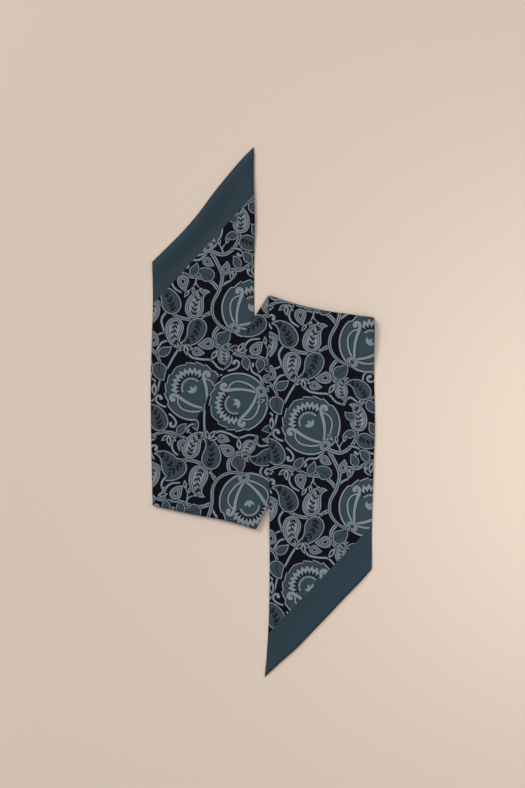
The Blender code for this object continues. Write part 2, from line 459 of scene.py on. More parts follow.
def placed(patches: list, spot: tuple, turn: float = 0.0, size: float = 1.0, mirror: bool = False) -> list:
    """Copy patches to a spot, mirrored left to right if asked, then sized and turned anticlockwise.

    Args:
        patches: The patches.
        spot: Where their origin comes to.
        turn: How far they turn, in degrees.
        size: Their size, from 1.
        mirror: Whether they are mirrored.

    Returns:
        The copies.
    """
    up = heading(turn) * size
    right = to_the_right(up) * (-1.0 if mirror else 1.0)
    basis = np.array([right, up])
    return [Patch(ink, anticlockwise(outline @ basis + np.array(spot))) for ink, outline in patches]


def ringed(outline: np.ndarray, *rings: tuple) -> list:
    """A shape with a dark edge round it and rings of ink inside it.

    Args:
        outline: The shape.
        rings: Pairs of an ink and how far inside the shape it starts.

    Returns:
        The patches, the outermost first.
    """
    edge = [Patch(Ink.GROUND, grown(outline, HALO))]
    return edge + [Patch(ink, grown(outline, -inset) if inset else outline) for ink, inset in rings]


def pale(*insets: float) -> list:
    """The rings of a pale shape with a thin brown line at each distance inside its edge."""
    lines = [((Ink.BROWN, inset), (Ink.MIST, inset + LINE)) for inset in insets]
    return [(Ink.MIST, 0.0), *sum(lines, ())]


def pale_edge(width: float) -> list:
    """The rings of a teal shape with a pale edge and a thin brown line inside it."""
    return [(Ink.MIST, 0.0), (Ink.BROWN, width), (Ink.TEAL, width + LINE)]


LEAF = LeafShape(16.0, 38.0, 9.6, 0.78, 1.0)
HEART_LEAF = LeafShape(19.0, 55.0, 14.5, 0.66, 0.8, power=1.4)
LIGHT_PAISLEY = LeafShape(33.5, 112.0, 17.5, 0.56, 0.92, power=2.6, samples=30)
TEAL_PAISLEY = LeafShape(35.0, 98.0, 19.0, 0.58, 0.92, power=2.4, samples=30)
DROP = LeafShape(15.0, 34.0, 10.5, 0.62, 0.84, samples=18)
BUD = LeafShape(12.0, 16.0, 5.0, 0.9, 1.05, samples=14)
BUD_HEART = LeafShape(6.4, 14.0, 2.1, 0.9, 1.1, samples=9)
SPRIG_LEAF = LeafShape(5.2, 18.0, 2.0, 0.85, 0.95, samples=8)
PETAL = LeafShape(9.2, 0.0, 5.0, 0.8, 0.85, samples=11)
SEED = LeafShape(5.4, 0.0, 2.5, 0.9, 0.9, samples=8)
SPROUT = LeafShape(7.0, 0.0, 3.2, 0.85, 0.9, samples=9)


def sprig(path: np.ndarray, first: float, last: float, size: float = 1.0, pairs: int = 5) -> list:
    """A brown sprig along part of a line: a fine stem with pairs of slim leaves and one more at its end.

    Args:
        path: The line.
        first: Where on the line the sprig starts, from 0 to 1.
        last: Where it ends.
        size: Size of its leaves, from 1.
        pairs: Number of pairs of leaves.

    Returns:
        The patches.
    """
    shape = SPRIG_LEAF._replace(length=SPRIG_LEAF.length * size, width=SPRIG_LEAF.width * size)
    slim = Patch(Ink.BROWN, shape.outline())
    foot, end = (int(round(place * (len(path) - 1))) for place in (first, last))
    patches = [Patch(Ink.BROWN, stroke(path[foot : end + 1], 0.9 * size, 0.6 * size))]
    gap = (last - first) / (pairs - 1)
    for place in np.linspace(first, last, pairs):
        for shift, lean in PAIR:
            at = (place + shift * gap) * (len(path) - 1)
            low = min(int(at), len(path) - 2)
            step = path[low + 1] - path[low]
            turn = math.degrees(math.atan2(-step[0], step[1]))
            spot = path[low] + step * (at - low)
            patches += placed([slim], spot, turn + lean, 1.0, lean > 0)
    return patches + placed([slim], spot, turn)


def leaf() -> list:
    """A small teal leaf with a broad pale edge."""
    return ringed(LEAF.outline(), *pale_edge(0.95))


def light_paisley() -> list:
    """A pale paisley with two thin lines inside its edge and a brown sprig."""
    return ringed(LIGHT_PAISLEY.outline(), *pale(1.2, 2.9)) + sprig(LIGHT_PAISLEY.path(), 0.2, 0.6, 0.92)


def teal_paisley() -> list:
    """A teal paisley with a pale edge and a sprig."""
    return ringed(TEAL_PAISLEY.outline(), *pale_edge(1.1)) + sprig(TEAL_PAISLEY.path(), 0.2, 0.62)


def bud() -> list:
    """A slim pale bud with a brown heart."""
    return ringed(BUD.outline(), *pale()) + placed([Patch(Ink.BROWN, BUD_HEART.outline())], (0.0, 3.2))


def bud_spray() -> list:
    """Three buds that fan out from one foot."""
    return placed(bud(), (0.0, 0.0), 42.0, 0.85) + placed(bud(), (0.0, 0.0), -42.0, 0.85, True) + bud()


def twig() -> list:
    """A thin forked stem with a bud at each end and one at its bend.

    Returns:
        The patches.
    """
    stem = curve([(0.0, 0.0), (0.8, 6.0), (3.4, 11.5), (7.6, 16.0)], 1.2)
    fork = curve([(0.7, 5.0), (-1.2, 9.0), (-4.6, 12.0)], 1.2)
    lines = [stroke(fork, 1.5, 1.1), stroke(stem, 2.0, 1.2)]
    body = [Patch(Ink.GROUND, grown(line, HALO)) for line in lines]
    body += [Patch(Ink.MIST, line) for line in lines]
    buds = placed(bud(), (7.2, 15.6), -38.0, 0.95) + placed(bud(), (-4.3, 11.7), 42.0, 0.85, True)
    return body + placed(bud(), (3.0, 11.0), 4.0, 0.85, True) + buds


def drop() -> list:
    """A pale drop of lines one inside the other."""
    return ringed(DROP.outline(), *pale(1.1, 2.5), (Ink.BROWN, 3.9))


def heart_leaf() -> list:
    """A broad teal leaf with a fine vein."""
    vein = Patch(Ink.BROWN, stroke(HEART_LEAF.path()[3:16], 0.8, 0.4))
    return ringed(HEART_LEAF.outline(), *pale_edge(1.0)) + [vein]


def curl() -> list:
    """A short tendril that ends in a knob."""
    path = curve([(0.0, 0.0), (1.0, 5.0), (3.6, 9.0), (7.4, 9.4), (8.8, 6.4), (6.8, 5.0)], 0.9)
    return ringed(stroke(path, 1.6, 1.9), *pale()) + [Patch(Ink.MIST, disc(1.7, (6.9, 5.3)))]


def vine(points: list, start: float = 3.6, end: float = 2.5) -> list:
    """A pale stem, with a thin brown line along it where it is thick.

    Args:
        points: Points along it.
        start: Its width at the start.
        end: Its width at the end.

    Returns:
        The patches.
    """
    path = curve(points)
    split = [Patch(Ink.BROWN, stroke(path, SPLIT, SPLIT))] if end > SPLIT_FROM else []
    return ringed(stroke(path, start, end), *pale()) + split


@dataclass(frozen=True)
class Pomegranate:
    """A large round fruit cut open: a toothed rim, a crown of petals and two scrolls from a knot at its foot.

    Its centre is at the origin and its foot points to -Y.  Sizes are in mm.
    """

    radius: float = 29.0
    teeth: int = 8
    toothed_half: float = 78.0
    tooth: float = 1.9
    side_edge: float = 1.8
    crown_edge: float = 1.0
    crown_height: float = 3.6
    crown_half: float = 76.0
    petals: int = 11

    def rim(self, inset: float) -> np.ndarray:
        """The fruit's outline, or a line inside it: stepped over its crown and smooth round its foot.

        Args:
            inset: How far inside the outline.

        Returns:
            The line.
        """
        step = 2 * self.toothed_half / self.teeth
        low, high = self.radius - self.tooth, self.radius
        angles, radii = [], []
        for index in range(self.teeth):
            foot = -self.toothed_half + index * step
            ends = (low, high) if index < self.teeth / 2 else (high, low)
            angles += [foot + 0.4, foot + step / 2, foot + step - 0.4]
            radii += [ends[0], (low + high) / 2, ends[1]]
        smooth = np.linspace(self.toothed_half, 360.0 - self.toothed_half, 44)[1:-1]
        angles = np.radians(np.concatenate([angles, smooth]))
        radii = np.concatenate([radii, np.full(len(smooth), self.radius)])
        if inset > 0.0:
            to_foot = (1 - np.cos(angles)) / 2
            radii = radii - inset - self.crown_edge - (self.side_edge - self.crown_edge) * to_foot
        return anticlockwise(np.stack([np.sin(angles), np.cos(angles)], axis=1) * radii[:, None])

    def crown(self) -> list:
        """The half ring of petals, with a brown seed and a pale dot below each.

        Returns:
            The patches.
        """
        petal = PETAL.outline()
        rings = (
            (Ink.BROWN, grown(petal, LINE), 11.2),
            (Ink.MIST, petal, 11.2),
            (Ink.BROWN, SEED.outline(), 10.2),
            (Ink.MIST, disc(1.1), 9.2),
        )
        patches = []
        for ink, shape, reach in rings:
            for turn in np.linspace(-self.crown_half, self.crown_half, self.petals):
                spot = heading(turn) * reach + np.array([0.0, self.crown_height])
                patches += placed([Patch(ink, shape)], spot, turn)
        return patches

    def scroll(self) -> list:
        """The right scroll: a long loop that ends in a hook.

        Returns:
            The patches.
        """
        outer = curve([(2.0, -21.5), (11.0, -17.0), (18.2, -9.5), (19.4, -2.0), (15.6, 4.6)])
        inner = [(1.0, -20.0), (7.0, -13.0), (12.0, -4.5), (15.4, 4.5), (19.0, 8.6), (22.3, 6.6), (21.2, 3.6)]
        lines = [stroke(outer, 2.1, 1.5), stroke(curve(inner), 2.4, 3.6)]
        edges = [Patch(Ink.BROWN, grown(line, LINE)) for line in lines]
        return edges + [Patch(Ink.MIST, line) for line in [*lines, disc(2.3, (20.9, 4.3))]]

    def knot(self) -> list:
        """The knot at the foot: ovals one inside the other.

        Returns:
            The patches.
        """
        radii = (6.4, 5.9, 4.4, 3.9, 2.3, 1.9)
        inks = (Ink.GROUND, Ink.MIST, Ink.BROWN, Ink.MIST, Ink.BROWN, Ink.TEAL)
        centre = (0.0, -self.radius + 4.5)
        return [Patch(ink, disc(radius, centre, 16, 0.86)) for ink, radius in zip(inks, radii)]

    def patches(self) -> list:
        """The whole fruit.

        Returns:
            The patches.
        """
        sprout = Patch(Ink.MIST, SPROUT.outline())
        sprouts = [placed([sprout], (0.0, -1.5), turn) for turn in (-46.0, 0.0, 46.0)]
        body = [
            Patch(Ink.GROUND, grown(self.rim(0.0), HALO)),
            Patch(Ink.MIST, self.rim(0.0)),
            Patch(Ink.BROWN, self.rim(0.01)),
            Patch(Ink.TEAL, self.rim(LINE)),
        ]
        scrolls = self.scroll() + placed(self.scroll(), (0.0, 0.0), mirror=True)
        return body + self.crown() + sum(sprouts, []) + scrolls + self.knot()


class Spot(NamedTuple):
    """Where a motif is in the repeat: its foot, or a fruit's centre, in mm, and its turn in degrees."""

    motif: Callable[[], list]
    x: float
    y: float
    turn: float
    size: float = 1.0
    mirror: bool = False

    def patches(self, made: dict) -> list:
        """The motif's patches there."""
        return placed(made[self.motif], (self.x, self.y), self.turn, self.size, self.mirror)


pomegranate = Pomegranate().patches
STEMS = [
    [(56.6, 16.2), (63, 5), (68, -8), (65, -22), (59, -34), (59, -46), (66, -56), (77.4, -62.2)],
    [(59, 118), (50, 113), (38, 110), (26, 112), (14, 119), (4, 128), (-8, 132)],
    [(56.6, 16.2), (69, 13), (79, 19), (85, 31), (84, 45), (87, 57), (95, 65), (106, 68)],
    [(66, 104), (60, 96), (61, 86), (68, 78), (74, 68), (72, 60)],
    [(65, 138), (58, 146), (48, 150), (36, 152), (24, 158), (10, 160), (-6, 154)],
    [(-6, 84), (4, 76), (8, 66)],
    [(68, 152), (76, 158), (86, 158), (96, 164), (106, 166)],
]
BRANCHES = [
    [(29, 86), (21, 74), (15, 63), (8, 52), (5, 40)],
    [(31, 85), (37, 74), (47, 71), (57, 70), (64, 63), (71, 60)],
    [(3, 77), (9, 87), (18, 89), (28, 85)],
    [(15, 119), (9, 110), (11, 100), (15, 90)],
    [(72, 61), (78, 67), (86, 62)],
    [(64, 139), (71, 145), (78, 149), (83, 158)],
    [(54, 15), (46, 8), (37, 7), (29, -2)],
    [(24, 158), (19, 149), (21, 141), (28, 136)],
    [(85, 30), (92, 17), (101, 12), (112, 13)],
    [(86, 57), (91, 74), (91, 88), (97, 92)],
    [(0, 84), (-2, 72), (0, 62), (-3, 50)],
]
CHART = [
    Spot(curl, 52, 113, 75, 1.0, True),
    Spot(curl, 77, 19, -80, 1.0),
    Spot(curl, 30, 154, 20, 0.9),
    Spot(pomegranate, 40, 40, 35),
    Spot(pomegranate, 96, 120, -40),
    Spot(light_paisley, 40, 111, -4, 1.05, True),
    Spot(teal_paisley, 21, 115, 12, 1.0),
    Spot(light_paisley, 24, 111, 164, 1.02),
    Spot(teal_paisley, 46, 111, 168, 1.0, True),
    Spot(light_paisley, 85, 34, -12, 0.95),
    Spot(teal_paisley, 85, 28, -115, 0.8),
    Spot(heart_leaf, 62, 88, -70, 0.95),
    Spot(light_paisley, 71, 66, 12, 0.72, True),
    Spot(teal_paisley, 8, 1, 8, 0.95),
    Spot(light_paisley, 1, 127, 172, 0.9, True),
    Spot(heart_leaf, 7, 68, 172, 1.0),
    Spot(teal_paisley, 95, 65, 28, 0.85),
    Spot(drop, 60, 88, 112, 1.1, True),
    Spot(bud, 64, 80, 140, 1.0),
    Spot(heart_leaf, 58, 148, 35, 0.95),
    Spot(leaf, 5, 76, -75, 1.0),
    Spot(drop, 30, 153, 175, 1.1),
    Spot(leaf, 84, -1, 8, 0.9),
    Spot(drop, 69, -6, -30, 0.9),
    Spot(drop, 0, 84, -16, 1.0),
    Spot(leaf, 96, 65, -165, 1.0),
    Spot(bud_spray, 16, 158, 178, 1.0),
    Spot(leaf, 37, -8, -40, 0.95),
    Spot(leaf, 25, -3, -22, 0.9, True),
    Spot(bud_spray, 32, 86, 185, 1.0),
    Spot(leaf, 84, 32, 92, 0.9),
    Spot(leaf, 84, 46, 72, 0.85, True),
    Spot(leaf, 96, 4, 22, 0.95),
    Spot(bud, 92, 160, -150, 1.0),
    Spot(bud, 78, 158, 170, 0.9),
    Spot(bud, 101, 165, 160, 1.1),
    Spot(leaf, 102, 30, 8, 0.9),
    Spot(bud, 2, 48, 175, 1.1),
    Spot(twig, 43, 150.5, 176, 0.8),
    Spot(twig, 69, 13.5, 8, 0.8, True),
]
FILLERS = [
    (twig, 0.95),
    (teal_paisley, 0.62),
    (bud_spray, 0.95),
    (heart_leaf, 0.75),
    (curl, 1.1),
    (leaf, 0.95),
    (drop, 0.85),
]


def stalk(spot: Spot, stems: np.ndarray) -> list:
    """A thin stalk from a motif's foot back to the nearest stem behind it.

    Args:
        spot: Where the motif is.
        stems: Points along the middles of all stems.

    Returns:
        The patches: none where a stem is at the foot already or too far away.
    """
    foot, back = np.array([spot.x, spot.y]), -heading(spot.turn)
    ways = stems - foot
    lengths = np.linalg.norm(ways, axis=1)
    best = np.argmin(lengths - STALK_BEHIND * ways @ back)
    if not STALK_NEAR < lengths[best] < STALK_FAR:
        return []
    bend = foot + back * lengths[best] * STALK_BEND
    return ringed(stroke(curve([foot - back, bend, stems[best]], 1.2), 1.5, 1.7), *pale())


class Cover:
    """Which places of the repeat are printed already, on a grid of points 1 mm apart."""

    def __init__(self, patches: list) -> None:
        """Start with some patches of the print.

        Args:
            patches: The patches.
        """
        x, y = np.meshgrid(np.arange(COVER_LEFT, COVER_RIGHT), np.arange(int(REPEAT)))
        self.points = np.column_stack([x.ravel(), y.ravel()]).astype(float)
        self.taken = np.zeros(x.size, bool)
        self.columns = x.shape[1]
        self.add(patches)

    def add(self, patches: list) -> None:
        """Count the places under patches as printed, also where they reach into the next repeat.

        Args:
            patches: The patches.
        """
        inked = [outline for ink, outline in patches if ink is not Ink.GROUND]
        for outline in [outline + (0.0, shift) for outline in inked for shift in SHIFTS]:
            near = (self.points > outline.min(axis=0)) & (self.points < outline.max(axis=0))
            near = np.nonzero(near.all(axis=1))[0]
            self.taken[near] |= winding(self.points[near], outline) > 0

    def is_free(self, points: np.ndarray) -> bool:
        """Whether none of some points lies on a printed place."""
        column, row = np.round(points).astype(int).T
        return not self.taken[row % int(REPEAT) * self.columns + column - COVER_LEFT].any()


def fillers(made: dict, cover: Cover) -> list:
    """Small motifs for the gaps between the charted ones.

    Args:
        made: The patches of each kind of motif.
        cover: What is printed already, to which the new motifs are added.

    Returns:
        Their spots, at evenly scattered places, each with the first kind and turn that fit there.
    """
    probes = {}
    for motif, size in FILLERS:
        for turn in FILL_TURNS:
            shape = placed(made[motif], (0.0, 0.0), turn, size)
            edge = np.vstack([outline for ink, outline in shape if ink is Ink.GROUND])
            probes[motif, size, turn] = edge[np.linalg.norm(edge, axis=1) > FOOT_ROOM]
    spots = []
    for index in range(FILL_TRIES):
        across, along = (index * step % 1.0 for step in FILL_SPREAD)
        foot = np.array([FILL_LEFT + FILL_WIDTH * across, REPEAT * along])
        kind, turn = len(spots) % len(FILLERS), index % len(FILL_TURNS)
        kinds, turns = FILLERS[kind:] + FILLERS[:kind], FILL_TURNS[turn:] + FILL_TURNS[:turn]
        tries = ((motif, size, turn) for motif, size in kinds for turn in turns)
        fit = next((tried for tried in tries if cover.is_free(probes[tried] + foot)), None)
        if fit is not None:
            motif, size, turn = fit
            spots.append(Spot(motif, *foot, turn, size))
            cover.add(spots[-1].patches(made))
    return spots


def repeat_patches() -> list:
    """Every patch of one repeat of the print: stalks first, then stems, and the motifs over them.

    Returns:
        The patches, in the order in which they are printed.
    """
    made = {motif: motif() for motif in {spot.motif for spot in CHART}}
    vines = sum([vine(points, 2.2, 1.6) for points in BRANCHES] + [vine(points) for points in STEMS], [])
    charted = sum([spot.patches(made) for spot in CHART], [])
    extra = fillers(made, Cover(vines + charted))
    log.info("%d small motifs between the charted ones", len(extra))
    middles = np.vstack([curve(points) for points in STEMS + BRANCHES])
    middles = np.vstack([middles + (0.0, shift) for shift in SHIFTS])
    stalks = [stalk(spot, middles) for spot in CHART + extra if spot.motif not in (pomegranate, curl)]
    return sum([*stalks, vines, *(spot.patches(made) for spot in extra), charted], [])


# ---------------------------------------------------------------- how the scarf lies


class Lift(NamedTuple):
    """A stretch of a tail's right edge that stands a little off the table, in mm."""

    edge: float
    reach: float
    low: float
    high: float
    height: float


class Crease(NamedTuple):
    """A soft trough, or a ridge where its rise is positive, along a curve in the plane, in mm."""

    points: list
    half_width: float
    rise: float


LEFT_TAIL_LIFT = Lift(-9.0, 26.0, 132.0, 268.0, 3.0)
RIGHT_TAIL_LIFT = Lift(107.0, 20.0, -140.0, 50.0, 1.2)


def lifted(points: np.ndarray, lift: Lift) -> np.ndarray:
    """How far a tail's right edge stands off the table.

    Args:
        points: Points of the unrolled plane, in mm.
        lift: Where and how high the edge lifts.

    Returns:
        The heights there.
    """
    towards_edge = smooth_step((points[:, 0] - lift.edge + lift.reach) / lift.reach) ** LIFT_POWER
    along = np.clip((points[:, 1] - lift.low) / (lift.high - lift.low), 0.0, 1.0)
    return lift.height * towards_edge * np.sin(np.pi * along) ** 2


def creased(points: np.ndarray, creases: list) -> np.ndarray:
    """Rise of the cloth over all its creases, each of which fades out towards its ends.

    Args:
        points: Points of the unrolled plane, in mm.
        creases: The creases.

    Returns:
        The rise there.
    """
    rise = np.zeros(len(points))
    for crease in creases:
        line = curve(crease.points, CREASE_STEP)
        spread = crease.half_width / 2
        reach = CREASE_REACH * spread
        low, high = line.min(axis=0) - reach, line.max(axis=0) + reach
        near = np.nonzero(((points > low) & (points < high)).all(axis=1))[0]
        if not len(near):
            continue
        fade = np.sin(np.pi * (np.arange(len(line)) + 0.5) / len(line)) ** FADE_POWER
        squares = np.sum((points[near, None] - line[None]) ** 2, axis=2)
        share = np.linalg.norm(np.diff(line, axis=0), axis=1).mean() / (spread * math.sqrt(math.tau))
        rise[near] += crease.rise * share * (np.exp(-squares / (2 * spread**2)) @ fade)
    return rise


def table_rest(points: np.ndarray) -> np.ndarray:
    """Resting height of the left tail: on the table, with its right edge a little off it near the tip."""
    return lifted(points, LEFT_TAIL_LIFT)


def middle_rest(points: np.ndarray) -> np.ndarray:
    """Resting height of the middle stretch: on the left tail, then down to the table beside it."""
    past_edge = points[:, 0] - LOWER_FOLD_RIGHT[0] - TAIL_STEP_START
    return STACK * (1 - smooth_step(past_edge / TAIL_STEP_LENGTH))


def right_tail_rest(points: np.ndarray) -> np.ndarray:
    """Resting height of the right tail: on the middle stretch, then down to the table beyond its edge.

    Args:
        points: Points of the unrolled plane, in mm.

    Returns:
        The heights there.
    """
    edge = unit(UPPER_FOLD_RIGHT - LOWER_FOLD_RIGHT)
    past_edge = (points - LOWER_FOLD_RIGHT) @ to_the_right(edge) - EDGE_STEP_START
    on_middle = 1 - smooth_step(past_edge / EDGE_STEP_LENGTH)
    stacked = (middle_rest(points - (STEP_LAG, 0.0)) + STACK) * on_middle
    return stacked + lifted(points, RIGHT_TAIL_LIFT)


class Ridge(NamedTuple):
    """The ridge over the seam allowance inside a slanted hem, in mm."""

    height: float
    crest: float
    end: float

    def rise(self, distance: np.ndarray) -> np.ndarray:
        """Rise of the upper panel at distances from the hem.

        Args:
            distance: Distances from the hem.

        Returns:
            The rise there.
        """
        climb = smooth_step(distance / self.crest)
        fall = 1 - smooth_step((distance - self.crest) / (self.end - self.crest))
        return self.height * np.minimum(climb, fall)


@dataclass(frozen=True)
class Fold:
    """A turn of the scarf round a fold line: its ends, its outward side and the loft of its loop."""

    left: np.ndarray
    right: np.ndarray
    turn: float
    column: str
    radii: tuple
    before_rest: Callable[[np.ndarray], np.ndarray]
    ease: tuple = (TURN_EASE, TURN_EASE)

    @property
    def line(self) -> np.ndarray:
        """Direction of the fold line, from left to right."""
        return unit(self.right - self.left)

    @property
    def outward(self) -> np.ndarray:
        """Direction out of the scarf, square to the fold line."""
        return -to_the_right(self.line) * self.turn

    def radius(self, across: np.ndarray) -> np.ndarray:
        """Radius of the turn half way between the two panels."""
        return between(*self.radii, across) - PLY / 2

    def top_line(self, across: np.ndarray) -> np.ndarray:
        """Distance from the fold's chord in to the line where its turn begins and ends."""
        inset = self.radius(across) + PLY / 2 + WALL / 2
        return inset - read_column(ENDS, self.column, across)

    def across(self, points: np.ndarray) -> np.ndarray:
        """Place of points along the fold line, from 0 at its left end to 1."""
        length = np.linalg.norm(self.right - self.left)
        return np.clip((points - self.left) @ self.line / length, 0.0, 1.0)

    def past(self, points: np.ndarray) -> np.ndarray:
        """How far points lie past the turn's top line, towards its outward side."""
        return self.top_line(self.across(points)) + (points - self.left) @ self.outward

    def corner(self, right_end: bool, towards: np.ndarray) -> np.ndarray:
        """Where a long edge that runs towards another corner meets the turn.

        Args:
            right_end: Whether the edge is at the right end.
            towards: The corner that the edge runs towards.

        Returns:
            The place in plan.
        """
        start = self.right if right_end else self.left
        edge = unit(towards - start)
        inset = self.top_line(np.array([float(right_end)]))[0]
        return start + edge * (inset / -(edge @ self.outward))


@dataclass(frozen=True)
class End:
    """One end of a stretch in plan: its two corners, the way it bows, and the fold or hem that it meets."""

    left: np.ndarray
    right: np.ndarray
    direction: np.ndarray
    column: str
    is_hem: bool

    def points(self, across: np.ndarray) -> np.ndarray:
        """Points along the end."""
        chord = between(self.left, self.right, across[:, None])
        return chord + self.direction * read_column(ENDS, self.column, across)[:, None]


@dataclass(frozen=True)
class Stretch:
    """A flat run of the scarf, with the turn of the fold that it begins with."""

    first: End
    last: End
    sides: list
    rest: Callable[[np.ndarray], np.ndarray]
    fold: Fold | None = None
    before: End | None = None
    ridge: Ridge = Ridge(0.0, 1.0, 2.0)
    band_edge: np.ndarray | None = None

    @property
    def hem(self) -> End | None:
        """The slanted hem, if the stretch has one."""
        return next((end for end in (self.first, self.last) if end.is_hem), None)

    @property
    def direction(self) -> np.ndarray:
        """Direction along the stretch, from its first end to its last."""
        return unit(self.last.left + self.last.right - self.first.left - self.first.right)

    def side(self, right_side: bool) -> np.ndarray:
        """Points down a long edge, from the first end to the last, with the edge of the turn before them.

        Args:
            right_side: Whether it is the right edge.

        Returns:
            The points.
        """
        count = int(np.linalg.norm(self.last.left - self.first.left) / BOUNDARY_STEP)
        along = np.linspace(0.0, 1.0, count + 1)
        left = between(self.first.left, self.last.left, along[:, None])
        right = between(self.first.right, self.last.right, along[:, None])
        edge, column, sign = (right, "right_out", 1.0) if right_side else (left, "left_out", -1.0)
        edge = edge + unit(right - left) * (sign * read_column(self.sides, column, along))[:, None]
        if self.fold is None:
            return edge
        far = self.unrolled(np.array([float(right_side)]))[0]
        return np.vstack([between(far, edge[0], (np.arange(TURN_ROWS) / TURN_ROWS)[:, None]), edge])

    def unrolled(self, across: np.ndarray) -> np.ndarray:
        """Where the line on which the turn starts, under the fold, lies in the unrolled plane.

        Args:
            across: Places along the line, from 0 to 1.

        Returns:
            Points there.
        """
        base = self.before.points(across)
        length = np.pi * self.fold.radius(self.fold.across(base))
        return base + self.fold.outward * length[:, None]

    def boundary(self) -> np.ndarray:
        """The stretch's whole edge in the plane, anticlockwise.

        Returns:
            The outline.
        """
        across = np.linspace(0.0, 1.0, int(WIDTH / BOUNDARY_STEP) + 1)
        start = self.first.points(across) if self.fold is None else self.unrolled(across)
        loop = [self.side(False), self.last.points(across)[1:], self.side(True)[-2::-1], start[-2:0:-1]]
        return anticlockwise(np.vstack(loop))

    def side_distance(self, points: np.ndarray) -> np.ndarray:
        """Distance of points in from the nearer long edge.

        Args:
            points: Points of the unrolled plane, in mm.

        Returns:
            The distances.
        """
        along, across = self.direction, to_the_right(self.direction)
        if (self.first.right - self.first.left) @ across < 0:
            across = -across
        found = []
        for right_side, sign in ((False, 1.0), (True, -1.0)):
            edge = self.side(right_side)
            place, out = edge @ along, edge @ across
            slope = np.gradient(out, place)
            at = points @ along
            lean = np.sqrt(1 + np.interp(at, place, slope) ** 2)
            found.append(sign * (points @ across - np.interp(at, place, out)) / lean)
        return np.minimum(*found)

    def hem_distance(self, points: np.ndarray) -> np.ndarray:
        """Distance of points in from the stretch's slanted hem, or a long way where it has none.

        Args:
            points: Points of the unrolled plane, in mm.

        Returns:
            The distances.
        """
        hem = self.hem
        if hem is None:
            return np.full(len(points), FAR)
        edge = hem.points(np.linspace(0.0, 1.0, HEM_POINTS))
        along = unit(hem.right - hem.left)
        inward = to_the_right(along)
        if (self.first.left + self.last.right - 2 * hem.left) @ inward < 0:
            inward = -inward
        return points @ inward - np.interp(points @ along, edge @ along, edge @ inward)

    def middle_surface(self, points: np.ndarray) -> np.ndarray:
        """Lay points of the plane over the surface half way between the two panels.

        Args:
            points: Points of the unrolled plane, in mm.

        Returns:
            Their places in space, in mm.
        """
        rest = self.rest(points)
        if self.fold is None:
            return np.column_stack([points, HALF + rest])
        fold = self.fold
        past, across = fold.past(points), fold.across(points)
        radius = fold.radius(across)
        base = points - fold.outward * past[:, None]
        floor = fold.before_rest(base)
        ruling = abs(float(self.direction @ fold.outward))
        eased = smooth_step(-past / ruling / between(*fold.ease, across))
        run_height = HALF + rest + (floor + 2 * radius - rest) * (1 - eased)
        angle = np.pi / 2 - np.clip(past / radius, 0.0, np.pi)
        turned = base + fold.outward * (radius * np.cos(angle))[:, None]
        turn_height = floor + HALF + radius + radius * np.sin(angle)
        on_turn = past > 0.0
        plan = np.where(on_turn[:, None], turned, points)
        return np.column_stack([plan, np.where(on_turn, turn_height, run_height)])

    def turned(self, points: np.ndarray) -> np.ndarray:
        """How far points have gone round the turn, from 0 on top to 1 underneath.

        Args:
            points: Points of the unrolled plane, in mm.

        Returns:
            The shares.
        """
        if self.fold is None:
            return np.zeros(len(points))
        angle = self.fold.past(points) / self.fold.radius(self.fold.across(points))
        return (1 - np.cos(np.clip(angle, 0.0, np.pi))) / 2


def fold_end(fold: Fold, left_towards: np.ndarray, right_towards: np.ndarray) -> End:
    """The end of a stretch that meets a fold."""
    corners = fold.corner(False, left_towards), fold.corner(True, right_towards)
    return End(*corners, fold.outward, fold.column, False)


def hem_end(left: np.ndarray, right: np.ndarray, way: float, column: str) -> End:
    """The end of a tail at its slanted hem, which bows along Y."""
    return End(left, right, np.array([0.0, way]), column, True)


LOWER_FOLD = Fold(LOWER_FOLD_LEFT, LOWER_FOLD_RIGHT, -1.0, "lower_fold", (2.4, 3.4), table_rest)
UPPER_FOLD = Fold(UPPER_FOLD_LEFT, UPPER_FOLD_RIGHT, 1.0, "upper_fold", (2.6, 4.2), middle_rest, (25.0, 60.0))
LEFT_TAIL = Stretch(
    hem_end(LEFT_HEM_CORNER, LEFT_HEM_TIP, 1.0, "left_hem"),
    fold_end(LOWER_FOLD, LEFT_HEM_CORNER, LEFT_HEM_TIP),
    LEFT_TAIL_SIDES,
    table_rest,
    ridge=Ridge(1.5, 5.0, 18.0),
    band_edge=LEFT_BAND_EDGE,
)
MIDDLE = Stretch(
    fold_end(LOWER_FOLD, UPPER_FOLD_LEFT, UPPER_FOLD_RIGHT),
    fold_end(UPPER_FOLD, LOWER_FOLD_LEFT, LOWER_FOLD_RIGHT),
    MIDDLE_SIDES,
    middle_rest,
    LOWER_FOLD,
    LEFT_TAIL.last,
)
RIGHT_TAIL = Stretch(
    fold_end(UPPER_FOLD, RIGHT_HEM_TIP, RIGHT_HEM_CORNER),
    hem_end(RIGHT_HEM_TIP, RIGHT_HEM_CORNER, -1.0, "right_hem"),
    RIGHT_TAIL_SIDES,
    right_tail_rest,
    UPPER_FOLD,
    MIDDLE.last,
    Ridge(1.1, 1.8, 13.0),
    RIGHT_BAND_EDGE,
)


# ---------------------------------------------------------------- panels of silk


def inside(points: np.ndarray, outline: np.ndarray) -> np.ndarray:
    """Whether each point lies inside a closed anticlockwise outline.

    Args:
        points: The points.
        outline: The outline.

    Returns:
        True or False for each point.
    """
    starts = range(0, len(points), POINTS_AT_ONCE)
    chunks = [winding(points[start : start + POINTS_AT_ONCE], outline) > 0 for start in starts]
    return np.concatenate(chunks) if chunks else np.zeros(0, bool)


